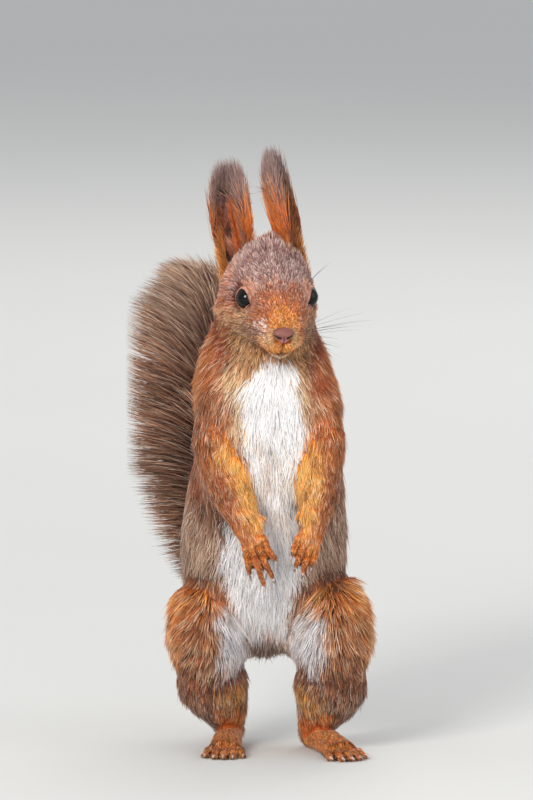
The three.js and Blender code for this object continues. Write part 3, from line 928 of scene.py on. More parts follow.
@dataclass(frozen=True)
class Effects:
    """The node groups that several finishes share."""

    hair_colour: bpy.types.NodeTree
    pores: bpy.types.NodeTree

    @staticmethod
    def hair_colour_group() -> bpy.types.NodeTree:
        """Builds the group that turns marking weights into a hair's colour."""
        labels = tuple(m.name.title() for m in Marking) + HAIR_VALUES
        tree, sheet, given, target = new_group(
            "hair_colour", tuple((label, "Float") for label in labels), (("Color", "Color"),))
        total = None
        for marking, tint in HAIR_TINTS.items():
            stops = ((0.1, linear(tint.root)), (0.48, linear(tint.shaft)), (0.9, linear(tint.tip)))
            colour = sheet.ramp(given["Along"], stops)
            scaled = sheet.scaled(colour, given[marking.name.title()])
            if total is None:
                total = scaled
            else:
                added = sheet.add("VectorMath", operation="ADD")
                sheet.join(total, added.inputs[0])
                sheet.join(scaled, added.inputs[1])
                total = added.outputs[0]
        late = sheet.span(given["Along"], 0.35, 0.9, 0.0, 1.0)
        pale = sheet.math("MULTIPLY", sheet.math("MAXIMUM", given["Tick"], 0.0), late)
        total = sheet.mix(sheet.math("MULTIPLY", pale, 0.75), total, linear((250, 226, 200)))
        below = sheet.math("MAXIMUM", sheet.math("MULTIPLY", given["Tick"], -1.0), 0.0)
        dusk = sheet.math("MULTIPLY", below, late)
        total = sheet.mix(sheet.math("MULTIPLY", dusk, 0.8), total, linear((58, 40, 34)))
        low = sheet.span(given["White"], 0.0, 1.0, 0.24, 0.76)
        high = sheet.span(given["White"], 0.0, 1.0, 1.24, 1.0)
        # Vary sets how bright a hair is: random tone and, on the tufts, painted shade of those lying low
        level = sheet.span(given["Vary"], 0.0, 1.0, low, high)
        sheet.join(sheet.scaled(total, level), target.inputs["Color"])
        return tree

    @staticmethod
    def pores_group() -> bpy.types.NodeTree:
        """Builds the group that gives bare skin its fine pebbled height and a cloudy shade."""
        tree, sheet, given, target = new_group(
            "pores", (("Scale", "Float"), ("Depth", "Float")), (("Height", "Float"), ("Shade", "Float")))
        place = sheet.add("TexCoord").outputs["Object"]
        cells = sheet.add("TexVoronoi", feature="F1")
        sheet.join(place, cells.inputs["Vector"])
        sheet.join(given["Scale"], cells.inputs["Scale"])
        cloud = sheet.add("TexNoise")
        sheet.join(place, cloud.inputs["Vector"])
        cloud.inputs["Scale"].default_value = 260.0
        sheet.join(sheet.math("MULTIPLY", cells.outputs["Distance"], given["Depth"]), target.inputs["Height"])
        sheet.join(cloud.outputs[0], target.inputs["Shade"])
        return tree

    @classmethod
    def made(cls) -> "Effects":
        """Builds all the groups."""
        return cls(cls.hair_colour_group(), cls.pores_group())


@dataclass(frozen=True)
class Finish:
    """A material made of nodes; each kind of finish wires its own colour, roughness and normal."""

    name: str
    roughness: float = 0.6
    specular: float = 0.3

    def made(self, effects: Effects) -> bpy.types.Material:
        """Builds the material.

        Args:
            effects: the shared node groups.

        Returns:
            The material, with its shader's plain sockets set.
        """
        material = bpy.data.materials.new(self.name)
        material.use_nodes = True
        sheet = NodeSheet(material.node_tree)
        shader = material.node_tree.nodes["Principled BSDF"]
        shader.inputs["Roughness"].default_value = self.roughness
        shader.inputs["Specular IOR Level"].default_value = self.specular
        self.wire(sheet, shader, effects)
        return material

    def wire(self, sheet: NodeSheet, shader: bpy.types.Node, effects: Effects) -> None:
        """Wires the shader's colour and normal."""
        raise NotImplementedError


@dataclass(frozen=True)
class HairFinish(Finish):
    """Hair or furred skin, coloured by the marking weights on its points."""

    sheen: float = 0.0
    nap_strength: float = 0.0

    def wire(self, sheet: NodeSheet, shader: bpy.types.Node, effects: Effects) -> None:
        """Wires the hair's colour, and the nap of short fur where the finish has one."""
        group = sheet.add("Group", node_tree=effects.hair_colour)
        for name in tuple(m.name.title() for m in Marking) + HAIR_VALUES:
            sheet.join(sheet.attribute(name.lower()), group.inputs[name])
        colour = group.outputs["Color"]
        if self.nap_strength:
            nap = sheet.noise(900.0, 3.0, (1.0, 1.0, 0.3))
            colour = sheet.mix(sheet.span(nap, 0.35, 0.7, 0.0, 0.55), colour, linear((60, 44, 38)))
            sheet.join(sheet.bump(nap, self.nap_strength, 0.0006), shader.inputs["Normal"])
        else:
            rough = sheet.span(sheet.attribute("vary"), 0.0, 1.0, self.roughness + 0.1, self.roughness - 0.1)
            sheet.join(rough, shader.inputs["Roughness"])
        shader.inputs["Sheen Weight"].default_value = self.sheen
        shader.inputs["Sheen Roughness"].default_value = 0.5
        sheet.join(colour, shader.inputs["Base Color"])


@dataclass(frozen=True)
class NoseFinish(Finish):
    """Bare, faintly moist nose leather, mauve above and pink below, with painted shade in the nostrils and
    the groove under its middle.
    """

    top: tuple = (124, 70, 58)
    edge: tuple = (180, 112, 120)
    # hollow: the colour of the painted shade in the nostrils and the groove
    hollow: tuple = (18, 8, 10)

    def wire(self, sheet: NodeSheet, shader: bpy.types.Node, effects: Effects) -> None:
        """Wires the pebbled leather."""
        pores = sheet.add("Group", node_tree=effects.pores)
        pores.inputs["Scale"].default_value = 2600.0
        pores.inputs["Depth"].default_value = 1.0
        colour = sheet.mix(sheet.attribute("low"), linear(self.top), linear(self.edge))
        shade = sheet.span(pores.outputs["Shade"], 0.35, 0.7, 0.0, 0.5)
        colour = sheet.mix(shade, colour, linear((98, 56, 52)))
        # painted shade in the nostrils and the groove
        colour = sheet.mix(sheet.attribute("hollow"), colour, linear(self.hollow))
        sheet.join(colour, shader.inputs["Base Color"])
        sheet.join(sheet.bump(pores.outputs["Height"], 0.5, 0.0002), shader.inputs["Normal"])


@dataclass(frozen=True)
class EyeFinish(Finish):
    """A near-black, wet eye with a faint brown ring round the pupil."""

    pupil: tuple = (4, 4, 5)
    iris: tuple = (20, 12, 9)

    def wire(self, sheet: NodeSheet, shader: bpy.types.Node, effects: Effects) -> None:
        """Wires the iris."""
        fleck = sheet.noise(1500.0, 2.0)
        iris = sheet.mix(fleck, linear(self.pupil), linear(self.iris))
        sheet.join(sheet.mix(sheet.attribute("iris"), linear(self.pupil), iris), shader.inputs["Base Color"])


@dataclass(frozen=True)
class HornFinish(Finish):
    """Claw horn, dark at the root and paler, slightly clear, towards the point."""

    dark: tuple = (96, 66, 58)
    pale: tuple = (214, 190, 182)

    def wire(self, sheet: NodeSheet, shader: bpy.types.Node, effects: Effects) -> None:
        """Wires growth lines along the horn."""
        lines = sheet.noise(700.0, 3.0, (1.0, 0.3, 1.0))
        colour = sheet.mix(sheet.span(lines, 0.35, 0.65, 0.0, 1.0), linear(self.dark), linear(self.pale))
        sheet.join(colour, shader.inputs["Base Color"])
        sheet.join(sheet.bump(lines, 0.3, 0.0001), shader.inputs["Normal"])


@dataclass(frozen=True)
class PlainFinish(Finish):
    """One even colour with a faint mottle."""

    colour: tuple = (230, 228, 224)
    mottle: tuple = (222, 220, 216)
    scale: float = 40.0

    def wire(self, sheet: NodeSheet, shader: bpy.types.Node, effects: Effects) -> None:
        """Wires the mottle."""
        share = sheet.span(sheet.noise(self.scale, 2.0), 0.4, 0.6, 0.0, 1.0)
        sheet.join(sheet.mix(share, linear(self.colour), linear(self.mottle)), shader.inputs["Base Color"])


# ---------------------------------------------------------------- skin


@dataclass(frozen=True)
class PartCoat:
    """How the coat stands on one part of the body.

    depth is how far the skin lies under the coat's outside, length and width are a tuft's, and
    density counts the tufts on a square millimetre.
    """

    depth: float
    length: float
    width: float
    density: float


PART_COATS = {
    "trunk": PartCoat(3.0, 10.5, 0.44, 2.5),
    "neck": PartCoat(3.0, 9.5, 0.42, 3.6),
    "head": PartCoat(1.6, 4.4, 0.34, 6.4),
    "upper_arm": PartCoat(2.4, 8.0, 0.38, 5.2),
    "forearm": PartCoat(1.6, 5.4, 0.33, 7.0),
    "forepaw": PartCoat(0.1, 1.4, 0.22, 9.0),
    "thigh": PartCoat(2.8, 9.0, 0.42, 2.3),
    "shank": PartCoat(2.0, 7.0, 0.40, 2.9),
    "hind_foot": PartCoat(0.4, 3.0, 0.24, 7.0),
    TAIL_CORE: PartCoat(0.5, 9.0, 0.50, 2.0),
}


def part_coat(name: str) -> PartCoat:
    """Returns the coat of a part, whichever side it is on."""
    return PART_COATS[name.replace("_right", "").replace("_left", "")]


@dataclass
class Eye:
    """An eyeball and its lids, on one side of the head."""

    side: str
    radius: float = 4.7
    bulge: float = 0.2
    bed_radius: float = 6.0
    rows: int = 40
    aperture: tuple = ((0.82, -0.44), (0.77, 0.08), (0.52, 0.54), (0.06, 0.80), (-0.42, 0.75), (-0.70, 0.36),
                       (-0.73, -0.14), (-0.52, -0.54), (-0.12, -0.74), (0.42, -0.74))
    lid_profile: tuple = ((0.0, -0.35), (0.0, 0.20), (0.04, 0.45), (0.12, 0.62), (0.24, 0.70), (0.36, 0.60),
                          (0.46, 0.2), (0.40, -0.8), (0.15, -0.9))
    gaze: tuple = (0.85, -0.53, 0.06)

    EDGE = 0.999
    NEAR = 9.0

    @property
    def sign(self) -> float:
        """Returns -1 for the right side and 1 for the left."""
        return -1.0 if self.side == "right" else 1.0

    @property
    def middle(self) -> np.ndarray:
        """Returns the eyeball's middle."""
        return node_middle(f"eye_{self.side}")

    def axes(self) -> tuple:
        """Returns the eye's own axes: towards the nose, up, and out along the gaze."""
        out = unit(HEAD.turned(np.array([self.gaze[0] * self.sign, self.gaze[1], self.gaze[2]])))
        up = unit(HEAD.turned(np.array([0.0, 0.0, 1.0])))
        up = unit(up - out * (up @ out))
        fore = np.cross(up, out) * self.sign
        if HEAD.matrix()[:, 1] @ fore > 0:
            fore = -fore
        return fore, up, out

    def on_ball(self, fore: np.ndarray, up: np.ndarray, radius: float) -> np.ndarray:
        """Returns places over the ball, from their shares of the radius forwards and upwards.

        Args:
            fore: shares towards the nose.
            up: shares upwards.
            radius: the distance from the ball's middle.

        Returns:
            One place for each pair of shares.
        """
        axis_fore, axis_up, axis_out = self.axes()
        flat = np.minimum(np.hypot(fore, up), self.EDGE)
        tilt = flat * (math.pi / 2)
        spin = np.arctan2(up, fore)
        towards = ((np.sin(tilt) * np.cos(spin))[:, None] * axis_fore
                   + (np.sin(tilt) * np.sin(spin))[:, None] * axis_up + np.cos(tilt)[:, None] * axis_out)
        return self.middle + towards * radius

    def aperture_line(self, count: int) -> np.ndarray:
        """Returns the opening between the lids as shares of the ball's quarter turn."""
        corners = self.aperture + self.aperture[:3]
        line = Path(tuple(corners), steps=16).table()[16:-17]
        picks = np.linspace(0, len(line) - 1, count, endpoint=False).astype(int)
        shares = line[picks]
        flat = np.hypot(shares[:, 0], shares[:, 1])[:, None]
        return shares / flat * np.arcsin(np.minimum(flat, self.EDGE)) / (math.pi / 2)

    def opening(self, points: np.ndarray) -> tuple:
        """Returns the points' distances from the ball's middle and the degrees they lie outside the lids."""
        fore, up, out = self.axes()
        off = points - self.middle
        gap = np.linalg.norm(off, axis=1)
        line = self.aperture_line(144)
        bearing = np.arctan2(line[:, 1], line[:, 0])
        order = np.argsort(bearing)
        edge = np.interp(np.arctan2(off @ up, off @ fore), bearing[order], np.hypot(*line[order].T) * 90,
                         period=FULL_TURN)
        return gap, np.degrees(np.arccos(np.clip(off @ out / gap, -1, 1))) - edge

    def bedded(self, points: np.ndarray) -> np.ndarray:
        """Returns skin points, drawn in under the open part of the ball and risen to its lids round it."""
        gap, beyond = self.opening(points)
        floor = self.radius - 0.35
        share = np.where(gap < self.NEAR, ramp(beyond, 2, 24), 1)
        return self.middle + (points - self.middle) * ((floor + (gap - floor) * share) / gap)[:, None]

    def ball(self, finish: bpy.types.Material) -> bpy.types.Object:
        """Builds the eyeball with its slightly proud cornea.

        Args:
            finish: the eye's material.

        Returns:
            The piece.
        """
        surface = globe(self.rows)
        angle = np.degrees(np.arccos(np.clip(surface.points[:, 2], -1, 1)))
        reach = self.radius + self.bulge * np.exp(-((angle / 43) ** 2))
        surface.points = self.middle + surface.points * reach[:, None] @ np.array(self.axes())
        surface = outward_facing(surface)
        surface.values["iris"] = ramp(angle, 34, 38) * ramp(angle, 70, 60)
        piece = add_piece(to_mesh(f"eyeball_{self.side}", surface), finish)
        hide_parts(f"eye_{self.side}")
        return piece

    def lids(self) -> Surface:
        """Builds the ring of bare lid skin round the opening, a closed fold that overlaps the ball."""
        line = self.aperture_line(72)
        heading = unit(line)
        rings = []
        for spread, height in self.lid_profile:
            widened = line + heading * spread * 0.62
            rings.append(self.on_ball(widened[:, 0], widened[:, 1], self.radius + height))
        return outward_facing(looped(np.array(rings).transpose(1, 0, 2)))

    def lid_colours(self, points: np.ndarray) -> np.ndarray:
        """Returns the markings of the lid's points: dark at its edge, pale above and towards the nose."""
        gap, beyond = self.opening(points)
        fore, up, _ = self.axes()
        off = unit(points - self.middle)
        pale = ramp(off @ fore * 0.7 + off @ up * 0.8, -0.95, -0.35)
        dark = ramp(gap, self.radius + 0.5, self.radius + 0.2) * ramp(beyond, 5, 2)
        weights = weighed(len(points), {Marking.RUFOUS: 1})
        lay_over(weights, Marking.PEACH, pale)
        lay_over(weights, Marking.DARK, dark)
        return weights


@dataclass(frozen=True)
class Face:
    """The soft shapes of the muzzle, in the head's frame."""

    lean: float = -1.2
    pad_rise: float = 0.9
    brow_rise: float = 0.7
    chin_rise: float = 2.6
    bridge_rise: float = 1.3
    lip_cut: float = 0.8

    def lips(self, local: np.ndarray) -> tuple:
        """Finds the mouth line and the cleft under the nose.

        Args:
            local: positions in the head's frame.

        Returns:
            How near each point is to the mouth line and to the cleft, and how far it is from the midline.
        """
        off = np.abs(local[:, 0] - self.lean)
        line = np.exp(-(((local[:, 2] + 16.6 - 0.03 * off**2) / 0.55) ** 2))
        line = line * ramp(off, 7.5, 5.5) * ramp(local[:, 1], -12, -16)
        cleft = np.exp(-((off / 0.45) ** 2)) * ramp(local[:, 2], -17.0, -16.2)
        cleft = cleft * ramp(local[:, 2], -10.6, -11.6) * ramp(local[:, 1], -18, -21)
        return line, cleft, off

    def creases(self, local: np.ndarray) -> np.ndarray:
        """Returns how much painted shade darkens the mouth line and the cleft."""
        line, cleft, off = self.lips(local)
        return np.maximum(line * (0.35 + 0.65 * ramp(off, 3.2, 1.6)), 0.75 * cleft)

    def shaped(self, points: np.ndarray) -> np.ndarray:
        """Moves the head's points into lips, whisker pads, brows and chin.

        Args:
            points: positions in the model's frame.

        Returns:
            The moved positions.
        """
        local = HEAD.local(points)
        near = ramp(local[:, 1], 30, 20) * ramp(np.abs(local[:, 2] + 4), 34, 26)
        moved = np.zeros_like(local)
        moved[:, 0] += self.lean * ramp(local[:, 1], -10, -24)
        for side in (-1, 1):
            pad = blob(local, (side * 5.4 - 1, -20.5, -12.8), (3.8, 4.2, 3.0))
            moved += pad[:, None] * unit(np.array([side * 0.6, -0.7, -0.1])) * self.pad_rise
            brow = blob(local, (side * 11.5, -3.0, 6.4), (4.5, 4.5, 2.2))
            moved += brow[:, None] * unit(np.array([side * 0.6, -0.3, 0.7])) * self.brow_rise
        line, cleft, _ = self.lips(local + moved)
        moved[:, 1] += line * self.lip_cut + cleft * 0.5
        chin = blob(local, (-1.2, -18.5, -19.0), (5.2, 5.5, 2.8))
        moved += chin[:, None] * np.array([0, -0.75, -1.0]) * self.chin_rise
        bridge = blob(local, (-1.2, -22.5, -4.6), (4.6, 3.6, 2.8))
        moved += bridge[:, None] * np.array([0, -0.5, 0.8]) * self.bridge_rise
        return HEAD.placed(local + moved * near[:, None])


@dataclass
class Ear:
    """One ear: a thin cupped shell of skin, open to the front, and the tuft of long hair that tops it."""

    side: str
    facing: tuple
    stations: tuple
    tuft: tuple
    thickness: float = 0.9
    rows: int = 34
    columns: int = 40

    def frame_at(self, headings: np.ndarray) -> tuple:
        """Returns the ear's axes along its spine: out of the opening and across it."""
        face = np.array([self.facing[0], self.facing[1], 0.0])
        out = unit(face - headings * (headings @ face)[:, None])
        return out, np.cross(headings, out)

    def sheet_rows(self, inset: float) -> np.ndarray:
        """Returns rows of points of the cup, moved in from its outside by the inset."""
        path = Path(self.stations)
        shares = np.linspace(0, 1, self.rows)
        table = path.at(shares)
        out, across = self.frame_at(path.headings(shares))
        rows = []
        for k, share in enumerate(shares):
            wide, deep = table[k, 3] - inset, table[k, 4] - inset
            half = math.radians(np.interp(share, (0, 0.25, 0.6, 1.0), (116, 84, 66, 56)))
            angles = np.linspace(-half, half, self.columns)
            curl = 1 - 0.10 * (np.abs(angles) / half) ** 4
            row = (table[k, :3] + across[k] * (np.sin(angles) * wide * curl)[:, None]
                   - out[k] * ((np.cos(angles) - 0.25) * deep)[:, None])
            rows.append(row)
        return np.array(rows)

    def shell(self) -> Surface:
        """Builds the closed shell; its values rise, rim, inside and fore say where on the ear a point is."""
        outer, inner = self.sheet_rows(0.0), self.sheet_rows(self.thickness)
        surface = outward_facing(lofted(np.concatenate([outer, inner[:, ::-1]], axis=1)))
        columns = self.columns
        rise = np.repeat(np.linspace(0, 1, self.rows), columns * 2)
        surface.values["rise"] = np.concatenate([rise, [0.0, 1.0]])
        across = np.linspace(-1, 1, columns)
        signed = across * (1 if self.side == "right" else -1)
        for name, outside, within, ends in (("rim", np.abs(across), np.abs(across)[::-1], [0.5, 1.0]),
                                            ("inside", np.zeros(columns), np.ones(columns), [0.5, 0.5]),
                                            ("fore", signed, signed[::-1], [0.0, 0.0])):
            rows = np.tile(np.concatenate([outside, within]), self.rows)
            surface.values[name] = np.concatenate([rows, ends])
        return surface

    def hollow(self, surface: Surface) -> np.ndarray:
        """Returns how deep each point of the shell lies in the ear's hollows, where painted shade lies, more
        on the right ear than on the left.
        """
        places = np.stack([surface.values["fore"], surface.values["rise"]], 1)
        upper = blob(places, (-0.36, 0.58), (0.18, 0.08))
        lower = blob(places, (-0.66, 0.35), (0.20, 0.06))
        lowest = blob(places, (-0.40, 0.26), (0.22, 0.06))
        # painted shade in the hollows is full on the right ear and weaker on the left
        seen = 1.0 if self.side == SIDES[0] else 0.4
        return np.maximum(upper, np.maximum(lower, lowest)) * surface.values["inside"] * seen

    def marked(self, surface: Surface) -> np.ndarray:
        """Returns the marking weights on the shell."""
        rise, rim, inside, fore = (surface.values[n] for n in ("rise", "rim", "inside", "fore"))
        rag = lattice_noise(surface.points, 3.0, 17) - 0.5
        weights = weighed(len(surface.points), {Marking.MAUVE: 0.5, Marking.TAIL: 0.5})
        low = ramp(rise + rag * 0.2, 1.0, 0.84)
        layers = (
            (Marking.RUFOUS, 0.8 * inside * ramp(rise + rag * 0.2, 0.9, 0.7)),
            (Marking.ORANGE, inside * ramp(fore + rag * 0.3, -0.28, 0.02) * low),
            (Marking.ORANGE, (1 - inside) * ramp(fore + rag * 0.5, -0.1, 0.3) * low),
            (Marking.GOLD, 0.25 * ramp(fore + rag * 0.5, 0.2, 0.6) * low),
            (Marking.RUFOUS, 0.6 * (1 - inside) * ramp(fore + rag * 0.4, 0.3, -0.3) * low),
            (Marking.GOLD, 0.6 * ramp(rim, 0.78, 0.95) * ramp(fore, 0, -0.5) * ramp(rise, 0.7, 0.4)),
            (Marking.PEACH, 0.45 * inside * blob(np.stack([fore, rise], 1), (-0.40, 0.47), (0.18, 0.05))),
            # painted shade: the hollows are laid dark
            (Marking.DARK, 0.95 * ramp(self.hollow(surface), 0.25, 0.6)),
        )
        for marking, mask in layers:
            lay_over(weights, marking, mask)
        return weights


EARS = (
    Ear("right", (-0.62, -0.78),
        ((-2.3, -22.5, 190.0, 7.4, 6.0), (-4.5, -20.3, 198.4, 8.4, 6.4), (-6.5, -19.8, 206.4, 8.8, 5.8),
         (-8.0, -19.3, 215.0, 8.4, 5.2), (-8.8, -18.8, 222.4, 6.6, 4.0), (-9.2, -18.3, 229.0, 3.6, 2.4)),
        ((-8.2, -17.9, 215.4, 7.0, 5.0), (-9.7, -17.3, 225.4, 9.0, 5.4), (-10.3, -17.1, 235.0, 9.0, 5.4),
         (-10.4, -16.9, 245.5, 6.6, 4.4))),
    Ear("left", (0.95, -0.31),
        ((18.5, -22.5, 192.0, 7.0, 6.2), (17.4, -20.3, 200.4, 7.6, 6.6), (16.9, -19.8, 208.4, 7.4, 6.4),
         (15.0, -19.3, 217.4, 7.0, 6.2), (12.4, -18.8, 225.4, 5.8, 5.4), (9.8, -18.3, 232.0, 3.4, 3.4)),
        ((13.3, -17.9, 219.0, 6.0, 5.8), (11.2, -17.3, 230.0, 6.4, 5.8), (9.5, -17.1, 240.0, 6.0, 5.4),
         (8.2, -16.9, 250.5, 4.6, 4.0))),
)


@dataclass
class Skin:
    """One skin over the whole body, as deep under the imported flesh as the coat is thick."""

    voxel: float = 0.58
    swell: float = 0.3
    share_rounds: int = 8
    point_rounds: int = 4
    relax_rounds: int = 10
    depth_rounds: int = 16
    joint_rounds: int = 220
    shoulders_elbows: tuple = (((-17, -26, 148), (16, 18, 14)), ((30, -26, 147), (16, 18, 15)),
                               ((-15, -36, 118), (14, 16, 8)), ((28, -38, 118), (14, 16, 8)))
    knees: tuple = (((-18, -10, 42), (18, 28, 8)), ((33, -14, 42), (18, 28, 8)))
    face_thinness: float = 0.62
    crease_depths: tuple = (0.7, 0.45)
    share_kept: float = 0.28
    eyes: tuple = ()
    reference: Surface = None

    def tail_core(self) -> Surface:
        """Returns the fleshy core inside the tail's long hair."""
        shares = np.linspace(0.0, 0.97, 60)
        rows, headings = BUILD.tail.at(shares), BUILD.tail.headings(shares)
        return tube(rows[:, :3], headings, BUILD.core_radii(shares), (0.0, 1.0, 0.3), 16)

    def fused(self) -> tuple:
        """Fuses the flesh nodes into one surface.

        Returns:
            The surface and, for each of its points, which part is nearest.
        """
        grown, tree_points, tree_faces, tree_parts = bmesh.new(), [], [], []
        for index, name in enumerate(PARTS):
            flesh = self.tail_core() if name == TAIL_CORE else mesh_surface(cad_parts[name].data)
            if name == "head":
                balls = [globe(16) for _ in self.eyes]
                for ball, eye in zip(balls, self.eyes):
                    ball.points = ball.points * (eye.bed_radius - self.swell) + eye.middle
                flesh = joined([flesh, *balls])
            tree_faces.append(flesh.triangles + sum(len(p) for p in tree_points))
            tree_points.append(flesh.points)
            tree_parts.append(np.full(len(flesh.triangles), index))
            part = bmesh.new()
            part.from_mesh(to_mesh(name, flesh))
            bmesh.ops.remove_doubles(part, verts=part.verts, dist=1e-6)
            part.normal_update()
            for vertex in part.verts:
                vertex.co += vertex.normal * self.swell * MM
            swollen = bpy.data.meshes.new(name)
            part.to_mesh(swollen)
            part.free()
            grown.from_mesh(swollen)
        mesh = bpy.data.meshes.new("fused")
        grown.to_mesh(mesh)
        grown.free()
        surface = modified(mesh, "REMESH", mode="VOXEL", voxel_size=self.voxel * MM)
        tree = BVHTree.FromPolygons(np.vstack(tree_points).tolist(), np.vstack(tree_faces).tolist())
        owners = np.concatenate(tree_parts)
        near = [tree.find_nearest(Vector(p))[2] for p in surface.points.tolist()]
        return surface, owners[np.array(near)]

    def relaxed(self, surface: Surface, owners: np.ndarray) -> Surface:
        """Sinks the fused surface by the coat's depth and evens out its facets.

        Args:
            surface: the fused flesh.
            owners: each point's part.

        Returns:
            The same surface moved in place, with the soft share of each part as its value parts.
        """
        parts = surface.smoothed(np.eye(len(PARTS))[owners], self.share_rounds)
        depth = parts @ np.array([part_coat(name).depth for name in PARTS])
        small = share_of(parts, "forepaw", "hind_foot")
        face = share_of(parts, "head") * ramp(HEAD.local(surface.points)[:, 1], 4, -14)
        thumb = ramp(paw_features(surface.points)[2], 0.2, 0.6)
        depth = (depth * (1 - self.face_thinness * face) + self.swell) * (1 - thumb)
        depth = surface.smoothed(depth, self.depth_rounds, keep=small * 0.5)
        points = surface.smoothed(surface.points, self.point_rounds, keep=np.clip(small * 0.75, 0, 1))
        even = Surface(points, surface.triangles)
        sunk = even.points - even.normals() * depth[:, None]
        sunk = surface.smoothed(sunk, self.relax_rounds, keep=np.clip(small * 0.9 + face * 0.5, 0, 1))
        joint = sum(ramp(blob(sunk, *spot), 0.2, 0.6) for spot in self.shoulders_elbows + self.knees)
        joint += share_of(parts, "trunk", "neck") * ramp(sunk[:, 1], -10, -18) * 0.8
        sunk = surface.smoothed(sunk, self.joint_rounds, keep=1 - np.clip(joint, 0, 1))
        sunk = Face().shaped(sunk)
        for eye in self.eyes:
            sunk = eye.bedded(sunk)
        crease = paw_features(sunk)[0] * small * np.where(sunk[:, 2] < FOOT_HEIGHT, *self.crease_depths)
        surface.points = sunk - Surface(sunk, surface.triangles).normals() * crease[:, None]
        surface.values["parts"] = parts
        return surface

    def build(self, finish: bpy.types.Material) -> bpy.types.Object:
        """Builds the skin with its lids and ears as one piece.

        Args:
            finish: the skin's material.

        Returns:
            The piece.
        """
        surface, owners = self.fused()
        self.reference = self.relaxed(surface, owners)
        lighter = self.thinned(self.reference)
        tree = nearest_tree(self.reference.points)
        near = np.array([tree.find(p)[1] for p in lighter.points.tolist()])
        parts = self.reference.values["parts"][near]
        weights = Markings(lighter.points, parts).solve()
        dress(lighter, weights)
        shells = [lighter]
        for eye in self.eyes:
            lid = eye.lids()
            dress(lid, eye.lid_colours(lid.points))
            lid.values["along"][:] = 0.6
            shells.append(lid)
        for ear in EARS:
            shell = ear.shell()
            dress(shell, ear.marked(shell))
            shells.append(shell)
        piece = add_piece(to_mesh("skin", joined(shells)), finish)
        covered = FLESH + tuple(f"ear_{side}" for side in SIDES)
        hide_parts(*covered)
        return piece

    def thinned(self, surface: Surface) -> Surface:
        """Returns the surface with fewer triangles."""
        mesh = to_mesh("thin", Surface(surface.points, surface.triangles))
        return modified(mesh, "DECIMATE", ratio=self.share_kept)


def nearest_tree(points: np.ndarray) -> KDTree:
    """Returns a search tree over the points."""
    tree = KDTree(len(points))
    for index, point in enumerate(points.tolist()):
        tree.insert(point, index)
    tree.balance()
    return tree


def dress(surface: Surface, weights: np.ndarray) -> None:
    """Writes marking weights and the plain hair values on a surface of skin."""
    for marking in Marking:
        surface.values[marking.name.lower()] = weights[:, marking.value]
    count = len(surface.points)
    surface.values["along"] = np.full(count, 0.3)
    surface.values["vary"] = lattice_noise(surface.points, 1.2, 9)
    surface.values["tick"] = np.zeros(count)


# ---------------------------------------------------------------- coat


@dataclass
class Tufts:
    """Many tufts, each with a root, bends on the way and a tip, and what colours it."""

    roots: np.ndarray
    bends: tuple
    tips: np.ndarray
    widths: np.ndarray
    across: np.ndarray
    outward: np.ndarray
    weights: np.ndarray
    vary: np.ndarray
    tick: np.ndarray
    patches: np.ndarray
    bend_shares: tuple = (0.4,)
    bend_widths: tuple = (1.0,)
    flatness: float = 0.55
    evenness: float = 0.0
    tint_span: tuple = (0.0, 1.0)

    PATCH = 0.003  # the width of one tuft's patch on the bake map

    def taken(self, pick: np.ndarray) -> "Tufts":
        """Returns only the picked tufts."""
        names = ("roots", "tips", "widths", "across", "outward", "weights", "vary", "tick", "patches")
        bends = tuple(bend[pick] for bend in self.bends)
        return replace(self, bends=bends, **{name: getattr(self, name)[pick] for name in names})

    def surface(self) -> tuple:
        """Builds every tuft as a closed spindle with three sides.

        Returns:
            The surface with its values, and one place on the bake map for each point.
        """
        count, rings = len(self.roots), len(self.bends)
        size = 2 + 3 * rings
        points = np.empty((count, size, 3))
        points[:, 0], points[:, -1] = self.roots, kept_near(self.tips)
        along = np.empty(size)
        along[0], along[-1] = 0.0, 1.0
        place = np.zeros((size, 2))
        place[0], place[-1] = (0.5, 0.0), (0.5, 1.0)
        for k, (bend, share, wide) in enumerate(zip(self.bends, self.bend_shares, self.bend_widths)):
            half = (self.widths * wide / 2)[:, None]
            points[:, 1 + 3 * k] = bend - self.across * half
            points[:, 2 + 3 * k] = bend + self.across * half
            points[:, 3 + 3 * k] = bend + self.outward * half * self.flatness * 2
            along[1 + 3 * k : 4 + 3 * k] = share
            place[1 + 3 * k : 4 + 3 * k] = ((0.0, share), (1.0, share), (0.5, share))
        faces = []
        for a, b in ((1, 2), (2, 3), (3, 1)):
            faces.append((0, a, b))
            for k in range(rings - 1):
                low, high = 3 * k, 3 * k + 3
                faces.append((a + low, a + high, b + low))
                faces.append((b + low, a + high, b + high))
            last = 3 * (rings - 1)
            faces.append((b + last, a + last, size - 1))
        template = np.array(faces)
        triangles = (template[None] + (np.arange(count) * size)[:, None, None]).reshape(-1, 3)
        values = {m.name.lower(): np.repeat(self.weights[:, m.value], size) for m in Marking}
        values["along"] = np.tile(np.interp(along, (0, 1), self.tint_span), count)
        values["vary"] = np.repeat(self.vary, size)
        values["tick"] = np.repeat(self.tick, size)
        if self.evenness:
            facing = np.repeat(self.outward[:, None], size, axis=1) * self.evenness
            for k in range(rings):
                facing[:, 1 + 3 * k] -= self.across
                facing[:, 2 + 3 * k] += self.across
            values["custom_normal"] = unit(facing).reshape(-1, 3)
        patch = (self.patches[:, None] + (place[None] - 0.5) * self.PATCH).reshape(-1, 2)
        return Surface(points.reshape(-1, 3), triangles, values), patch

    def piece(self, name: str, finish: bpy.types.Material, slot: Slot) -> bpy.types.Object:
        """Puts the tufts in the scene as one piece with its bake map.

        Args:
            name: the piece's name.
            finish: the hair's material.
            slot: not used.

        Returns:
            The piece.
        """
        surface, patch = self.surface()
        mesh = to_mesh(name, surface)
        layer = mesh.uv_layers.new(name="OFBake")
        layer.data.foreach_set("uv", patch[surface.triangles.ravel()].astype(np.float32).ravel())
        return add_piece(mesh, finish)


